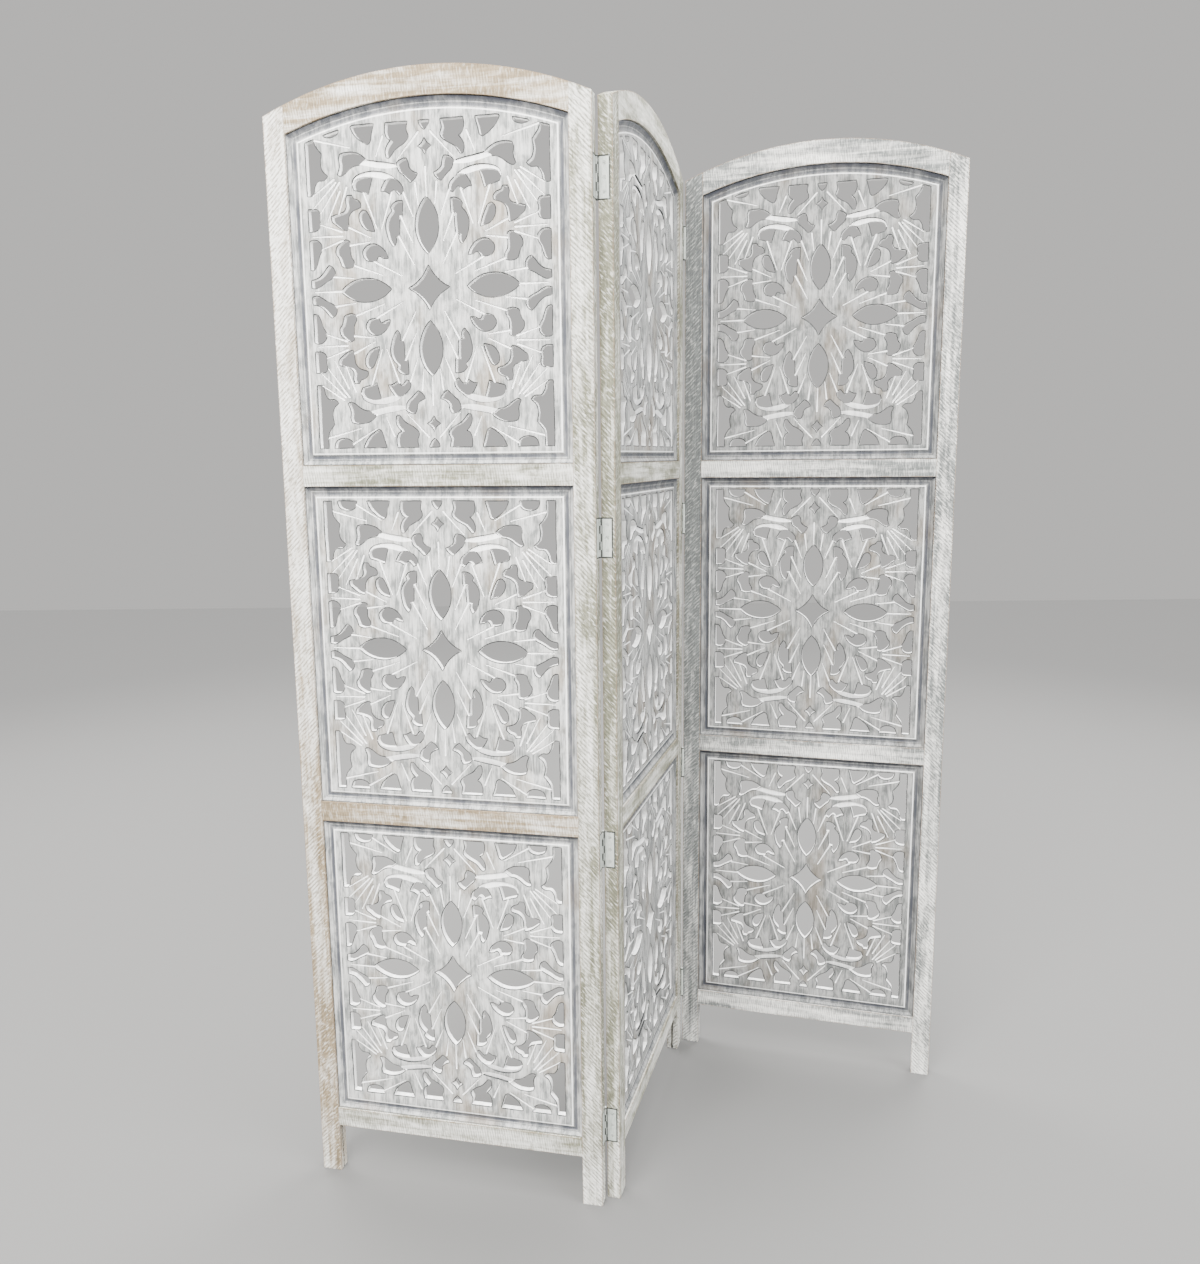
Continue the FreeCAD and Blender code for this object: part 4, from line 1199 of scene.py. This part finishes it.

# %% [markdown]
# The carved panels' finish
#
# On the panels the wash is smoother and cooler, with upright streaks. The brush has left its
# own marks: white in every cut and on the sawn walls, and a blue-grey stain in the cove. Painted
# shade is added: a thin dark line along each edge and down each vein's sides, and a deeper stain
# under each upper edge. On the bands' slopes the white is partly painted highlight. A painter
# works by what the surface is, not by where it is, so the finish reads the attributes that the
# mesh carries and softens them with noise.

# %% The carved panels' finish
FIELD_WHITE = (0.54, 0.54, 0.525, 1.0)
FIELD_GREY = (0.160, 0.167, 0.164, 1.0)
FIELD_BEIGE = (0.235, 0.190, 0.140, 1.0)
CUT_WHITE = (0.92, 0.92, 0.91, 1.0)
PAINTED_SHADE_LINE = (0.022, 0.023, 0.024, 1.0)
COVE_STAIN_AND_SHADE = (0.056, 0.060, 0.074, 1.0)
# How much of a leaf's painted shade reaches its stain and its white.
STAIN_DARKENED, WHITE_DARKENED = 0.7, 0.4
PANEL_ROUGHNESS = 0.7
FIELD_STREAKS = ((160, 60, 13), 5.0, 0.68, 0.6)
FIELD_PATCHES = ((60, 60, 30), 4.0, 0.62, 0.6)
FINE_STREAKS = ((650, 650, 50), 3.0)
BEIGE_AREAS = ((13, 13, 6), 4.0)
UNEVEN_STAIN = ((30, 30, 14), 5.0)
BLOTCHES = ((90, 90, 90), 2.0)


def darker(colour, share):
    return (*(value * (1 - share) for value in colour[:3]), 1.0)


def panel_finish(leaf, name, tone, shift):
    """The finish of one leaf's panel. tone is how much darker than the first leaf's it is: painted
    shade for the further leaves.
    """
    finish = Finish(f"{leaf}_{name}_panel_wash")
    place = finish.stretch(finish.place(), AS_IT_IS, shift=shift)
    streaks = finish.noise(place, *FIELD_STREAKS)
    fine = finish.noise(place, *FINE_STREAKS)
    blotches = finish.noise(place, *BLOTCHES, shift=(7, 4, 1))

    grey = finish.plus(finish.ramp(streaks, 0.38, 0.64, 0.05, 0.5),
                       finish.ramp(finish.noise(place, *FIELD_PATCHES), 0.34, 0.66, 0.05, 0.6),
                       finish.ramp(fine, 0.35, 0.65, -0.20, 0.15))
    colour = finish.mix(finish.ramp(grey, 0.0, 1.1), darker(FIELD_WHITE, tone),
                        darker(FIELD_GREY, tone))
    beige = finish.noise(place, *BEIGE_AREAS, shift=(5, 2, 9))
    colour = finish.mix(finish.ramp(beige, 0.52, 0.68, 0.0, 0.6), colour,
                        darker(FIELD_BEIGE, tone))
    # The cove's blue-grey stain, and under each upper edge painted shade in the same colour.
    uneven = finish.noise(place, *UNEVEN_STAIN, shift=(2, 8, 3))
    cove = finish.times(finish.mask(STAIN_AND_SHADE), finish.ramp(uneven, 0.34, 0.62, 0.70, 1.0))
    colour = finish.mix(cove, colour, darker(COVE_STAIN_AND_SHADE, STAIN_DARKENED * tone))

    # The lines of painted shade come before the white, so that the white covers them in the cuts.
    line = finish.times(finish.mask(SHADE_FACE), finish.ramp(blotches, 0.34, 0.50, 0.75, 1.0))
    colour = finish.mix(line, colour, PAINTED_SHADE_LINE)
    depth = finish.mask(VEIN)
    # The sloping sides of each vein are darkened with painted shade; its middle is then painted
    # white.
    vein_shade = finish.times(finish.ramp(depth, 0.0, 0.18),
                            finish.ramp(blotches, 0.34, 0.56, 0.35, 0.9))
    colour = finish.mix(vein_shade, colour, PAINTED_SHADE_LINE)
    brushed = darker(CUT_WHITE, WHITE_DARKENED * tone)
    colour = finish.mix(finish.ramp(depth, 0.26, 0.42), colour, brushed)
    # The sawn walls and the bands are white; on the bands' slopes that tilt up, the white is partly
    # painted highlight.
    on_walls = finish.times(finish.mask(WHITE_FACE), finish.ramp(streaks, 0.3, 0.7, 1.0, 0.65))
    finish.give("Base Color", finish.mix(on_walls, colour, brushed))
    finish.give("Roughness", PANEL_ROUGHNESS)
    streak_relief = finish.bump(streaks, 0.0004, 0.35)
    finish.give("Normal", finish.bump(fine, 0.0002, 0.35, streak_relief))
    return finish.material


print("the field's white is", [round(value, 2) for value in darker(FIELD_WHITE, 0)[:3]])

# %% [markdown]
# The painted hinges
#
# The hinges were screwed on first and brushed over with the frame, so they carry a thin
# greenish-white coat. It has flaked a little, mostly along the scratches. The steel below is
# the one thing on the screen that is a metal, so the same noise that bares it also drives how
# metallic and how rough the surface is.

# %% The painted hinges
HINGE_WASH = (0.31, 0.34, 0.31, 1.0)
HINGE_METAL = (0.13, 0.14, 0.135, 1.0)
FLAKES = ((110, 110, 60), 5.0, 0.65)
SCRATCHES = ((800, 800, 90), 3.0)
FLAKED_PLATES, FLAKED_SCREWS, FLAKED_PINS = 0.02, 0.06, 0.10
MARKED_SHARE = 0.8


def hinge_finish(name, flaked):
    """The painted steel and its colour. flaked says how much of it is bare metal."""
    finish = Finish(name)
    place = finish.place()
    blotches = finish.noise(place, *FLAKES)
    scratches = finish.noise(place, *SCRATCHES)
    bare = finish.times(finish.ramp(blotches, 0.66 - flaked, 0.80 - flaked),
                        finish.ramp(scratches, 0.35, 0.6, 0.4, 1.0))
    colour = finish.mix(finish.ramp(scratches, 0.35, 0.65, 0.0, 0.3), HINGE_WASH, WASH_WHITE)
    finish.give("Metallic", finish.ramp(bare, 0.3, 0.9, 0.0, 0.85))
    finish.give("Roughness", finish.ramp(bare, 0.2, 0.9, 0.75, 0.42))
    finish.give("Normal", finish.bump(blotches, RELIEF, 0.5))
    return finish, finish.mix(bare, colour, HINGE_METAL)


def marked_finish(name, flaked):
    """The finish of pins and screws, dark only on the faces marked so."""
    finish, colour = hinge_finish(name, flaked)
    # The marked faces take painted shade: the head's rim in its countersink, and its cross slot.
    marked = finish.times(finish.mask(SHADE_FACE), MARKED_SHARE)
    finish.give("Base Color", finish.mix(marked, colour, PAINTED_SHADE))
    return finish.material


pin_finish = marked_finish("washed_hinge_pin", FLAKED_PINS)
screw_finish = marked_finish("washed_screw", FLAKED_SCREWS)
print("two finishes for the small steel")

# %% [markdown]
# The dirt and painted shade round the plates
#
# A dark line runs round each hinge plate: dirt where the brush didn't reach the crack between
# steel and wood, and painted shade in that crack. The plates are let in flush, so there is no
# crevice for ambient occlusion to find. The line is therefore worked out from the plate's own
# edges, as it was for the boards, and a noise breaks it up.

# %% The dirt and painted shade round the plates
OUTLINE = 0.0030
EDGE_FADE = (0.5 * OUTLINE, 0.9 * OUTLINE)
BEND_FADE = (0.3 * OUTLINE, 0.6 * OUTLINE)
BEND_SHARE = 0.9
OUTLINE_DIRT_AND_SHADE = (0.020, 0.021, 0.020, 1.0)
BROKEN = ((160, 160, 160), 2.0)


def plate_finish(row, leaf, plates):
    """The finish of one row of plates, each with a dark line of dirt and painted shade along its
    outline.
    """
    finish, colour = hinge_finish(row + "_wash", FLAKED_PLATES)
    to_leaf = leaf_frames[leaf].inverted()
    axes = finish.split(finish.place(to_leaf))
    corners = [to_leaf @ vertex.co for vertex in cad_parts[plates[0]].data.vertices]
    nearest, furthest = min(c.y for c in corners), max(c.y for c in corners)
    on_back = nearest > 0
    # The far edge is the one inside the leaf's thickness: the knuckles stand outside it.
    from_far = (finish.math("SUBTRACT", axes["Y"], nearest) if on_back
                else finish.math("SUBTRACT", furthest, axes["Y"]))
    inside = None
    for plate in plates:
        low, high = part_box(plate)
        from_ends = from_sides(finish, axes["Z"], low[2], high[2])
        inside = from_ends if inside is None else finish.math("MAXIMUM", inside, from_ends)
    edge = finish.ramp(finish.math("MINIMUM", from_far, inside), *EDGE_FADE, 1.0, 0.0)
    # A second line, of painted shade, lies along the bend, where the plate leaves the wood for its
    # knuckles.
    from_bend = finish.math("SUBTRACT", axes["Y"], LEAF_THICKNESS if on_back else 0.0)
    bend = finish.ramp(finish.math("ABSOLUTE", from_bend), *BEND_FADE, BEND_SHARE, 0.0)
    broken = finish.noise(finish.place(), *BROKEN)
    dirt = finish.times(finish.math("MAXIMUM", bend, edge),
                        finish.ramp(broken, 0.28, 0.46, 0.6, 1.0))
    finish.give("Base Color", finish.mix(dirt, colour, OUTLINE_DIRT_AND_SHADE))
    return finish.material


print("the line of dirt is", round(MM_IN_METRE * EDGE_FADE[1], 1), "mm wide")

# %% [markdown]
# Dressing the sawn members and the hinges
#
# The stiles, rails, plates and pins already have their true shape, so they keep their CAD
# meshes. Real timber has no razor edges, though, and neither does pressed steel. A bevel
# modifier rounds every edge by well under a millimetre without touching the mesh itself, and
# it is what makes the edges catch the light and the joints show as fine lines.
#
# No two boards of the screen are alike. Each leaf has a tint and a wear of its own, some boards
# differ from the rest of their leaf, and every board takes its noise from another place. The
# wear is a pair: how much of the coat is rubbed away at the foot, and how much at the top. A
# number below zero leaves more of the coat than usual.

# %% Dressing the sawn members and the hinges
TIMBER_EDGE = 0.0009
STEEL_EDGE = 0.0002
EDGE_ANGLE = math.radians(40)
LEAF_TINT = {"left_leaf": "beige", "middle_leaf": "olive", "right_leaf": "grey"}
BOARD_TINT = {"left_leaf_right_stile": "olive", "left_leaf_upper_rail": "olive",
              "left_leaf_bottom_rail": "olive"}
LEAF_WEAR = {"left_leaf": (0.04, 0.01), "middle_leaf": (0.06, 0.06), "right_leaf": (0.04, 0.05)}
BOARD_WEAR = {
    "left_leaf_left_stile": (0.09, -0.12), "left_leaf_right_stile": (0.02, 0.02),
    "left_leaf_top_rail": (0.10, 0.10), "left_leaf_lower_rail": (0.12, 0.12),
    "middle_leaf_left_stile": (0.09, 0.15), "middle_leaf_right_stile": (0.08, 0.08),
    # This stile stands in the middle leaf's shadow, so its extra wear towards the top is painted
    # shade.
    "right_leaf_left_stile": (0.10, 0.33),
}
MEMBERS = ("left_stile", "right_stile", "top_rail", "upper_rail", "lower_rail", "bottom_rail")
BOARD_SHIFTS = (0.37, 0.11, 0.53)


def dress(node, material, edge):
    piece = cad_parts[node]
    for place in piece.material_slots:
        place.material = material
    rounding = piece.modifiers.new("worn_edges", "BEVEL")
    rounding.width = edge
    rounding.segments = 2
    rounding.limit_method = "ANGLE"
    rounding.angle_limit = EDGE_ANGLE


for order, leaf in enumerate(LEAVES):
    for number, member in enumerate(MEMBERS):
        node = f"{leaf}_{member}"
        shift = [step * count for step, count in zip(BOARD_SHIFTS, (order, number, number))]
        tint = BOARD_TINT.get(node, LEAF_TINT[leaf])
        wear = BOARD_WEAR.get(node, LEAF_WEAR[leaf])
        dress(node, member_finish(leaf, member, tint, wear, shift), TIMBER_EDGE)
print("dressed", len(LEAVES) * len(MEMBERS), "boards")

# %% Dressing the hinges
rows = {}
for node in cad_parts:
    if node.endswith("_pin"):
        dress(node, pin_finish, STEEL_EDGE)
    if node.endswith("_plate"):
        fold, side = node.split("_fold_")[0], node.split("_")[-2]
        rows.setdefault((f"{fold}_fold_{side}_plates", f"{side}_leaf"), []).append(node)
for (row, leaf), plates in rows.items():
    row_finish = plate_finish(row, leaf, plates)
    for plate in plates:
        dress(plate, row_finish, STEEL_EDGE)
    print(row, "has", len(plates), "plates on", leaf)

# %% [markdown]
# Hanging the carved panels
#
# The three panel meshes are used again in every leaf. Each one rides on its leaf, so it folds
# with it, and it takes the place of the plain pierced panel of the CAD model, which stays in
# the physics but isn't drawn. In the photo the further leaves are darker than the soft lamps
# leave them here, so their wash is painted a tone darker: painted shade.

# %% Hanging the carved panels
PANEL_PAINTED_SHADE = {"left_leaf": 0.0, "middle_leaf": 0.34, "right_leaf": 0.45}
PANEL_SHIFTS = (0.61, 0.23, 0.47)

for order, (leaf, place) in enumerate(leaf_frames.items()):
    for number, name in enumerate(openings):
        mesh = panel_meshes[name].copy()
        shift = [step * count for step, count in zip(PANEL_SHIFTS, (order, number, order))]
        mesh.materials.append(panel_finish(leaf, name, PANEL_PAINTED_SHADE[leaf], shift))
        panel = put_in(f"{leaf}_{name}_carving", mesh)
        panel.matrix_world = place
        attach(panel, leaf)
        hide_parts(f"{leaf}_{name}_panel")
print("hung", len(leaf_frames) * len(openings), "carved panels")

# %% [markdown]
# The hinge screws
#
# Each CAD screw is a bare cone and shank. The real head has a cross slot, with paint in it.
# The body of the screw is turned: rings of points along its axis, joined one to the next. The
# cross is sunk by joining its outline in the head's face to a smaller one below.

# %% The hinge screws
HEAD_RADIUS = 0.0030
HEAD_HEIGHT = 0.0014
HEAD_EDGE = 0.0006
SHANK_RADIUS = 0.0014
SCREW_LENGTH = 0.016
TIP_START, TIP_RADIUS = 0.0138, 0.0004
CROSS_REACH = 0.0018
CROSS_HALF_WIDTH = 0.0004
CROSS_DEPTH = 0.0007
CROSS_TAPER = 0.65
SHADE_AT_RIM, SHADE_IN_CROSS = 0.9, 0.2
LEVEL_ENOUGH = 0.00001
TURNS = 32


def ring(mesh, along, radius):
    return [mesh.verts.new((along, radius * math.cos(math.tau * turn / TURNS),
                            radius * math.sin(math.tau * turn / TURNS)))
            for turn in range(TURNS)]


def join_rings(mesh, near, far):
    for turn in range(len(near)):
        after = (turn + 1) % len(near)
        mesh.faces.new([near[turn], near[after], far[after], far[turn]])


def screw_mesh():
    """A countersunk screw along +X, its head's face at X 0."""
    mesh = bmesh.new()
    dark = mesh.faces.layers.float.new(SHADE_FACE)
    profile = [(0.0, HEAD_RADIUS - HEAD_EDGE), (HEAD_EDGE, HEAD_RADIUS),
               (HEAD_HEIGHT, SHANK_RADIUS), (TIP_START, SHANK_RADIUS), (SCREW_LENGTH, TIP_RADIUS)]
    rings = [ring(mesh, along, radius) for along, radius in profile]
    for near, far in zip(rings, rings[1:]):
        join_rings(mesh, near, far)
    mesh.faces.ensure_lookup_table()
    rim_faces = mesh.faces[:TURNS]
    mesh.faces.new(rings[-1])
    wide, reach = CROSS_HALF_WIDTH, CROSS_REACH
    cross = [Matrix.Rotation(math.pi / 2 * quarter, 2) @ Vector(corner) for quarter in range(4)
             for corner in ((reach, -wide), (reach, wide), (wide, wide))]
    top = [mesh.verts.new((0.0, corner.x, corner.y)) for corner in cross]
    deep = [mesh.verts.new((CROSS_DEPTH, CROSS_TAPER * corner.x, CROSS_TAPER * corner.y))
            for corner in cross]
    join_rings(mesh, top, deep)
    mesh.faces.new(deep)
    rims = [edge for edge in mesh.edges if edge.is_boundary]
    bmesh.ops.bridge_loops(mesh, edges=rims)
    for face in mesh.faces:
        level = sum(corner.co.x for corner in face.verts) / len(face.verts)
        face[dark] = 0.0 if level < LEVEL_ENOUGH else SHADE_IN_CROSS
    for face in rim_faces:
        face[dark] = SHADE_AT_RIM
    bmesh.ops.recalc_face_normals(mesh, faces=mesh.faces)
    return settle(mesh, "screw")


screw = screw_mesh()

# %% [markdown]
# Driving the screws
#
# The screws go where the CAD model has them. Its screws of one row are a single node, so their
# points are sorted by height first: the wide points are a head's rim, and those furthest from
# it are the tip, which says which way the screw points. The twelve of a row become one piece.

# %% Driving the screws
# The slots never line up: each screw stopped where it was tight.
SLOT_TURN = 0.7
WIDE = (HEAD_RADIUS + SHANK_RADIUS) / 2
NEAR_TIP = 0.9 * SCREW_LENGTH


def screw_places(node):
    """Where each CAD screw's head is, and the way that the screw points into the wood."""
    by_level = {}
    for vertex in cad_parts[node].data.vertices:
        level = next((level for level in by_level if abs(level - vertex.co.z) < 2 * HEAD_RADIUS),
                     vertex.co.z)
        by_level.setdefault(level, []).append(vertex.co)
    places = []
    for points in by_level.values():
        level = (min(point.z for point in points) + max(point.z for point in points)) / 2
        rim = [point for point in points if abs(point.z - level) > WIDE]
        head = sum(rim, Vector()) / len(rim)
        head.z = level
        far = [point for point in points if (point - head).length > NEAR_TIP]
        tip = sum(far, Vector()) / len(far)
        tip.z = level
        places.append((head, (tip - head).normalized()))
    return places


for row in sorted(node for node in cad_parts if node.endswith("_screws")):
    fold, side = row.removesuffix("_screws").split("_fold_")
    joined = bmesh.new()
    places = screw_places(row)
    for number, (head, way) in enumerate(places):
        placed = screw.copy()
        placed.transform(Matrix.Translation(head)
                         @ way.to_track_quat("X", "Z").to_matrix().to_4x4()
                         @ Matrix.Rotation(SLOT_TURN * number, 4, "X"))
        joined.from_mesh(placed)
        bpy.data.meshes.remove(placed)
    data = bpy.data.meshes.new(f"{fold}_fold_{side}_slotted_screws")
    joined.to_mesh(data)
    joined.free()
    data.materials.append(screw_finish)
    piece = put_in(data.name, data)
    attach(piece, f"{side}_leaf")
    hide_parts(row)
    print(row, "has", len(places), "screws")

# %% [markdown]
# The carving and the paint must not make the screen bigger than its CAD model.
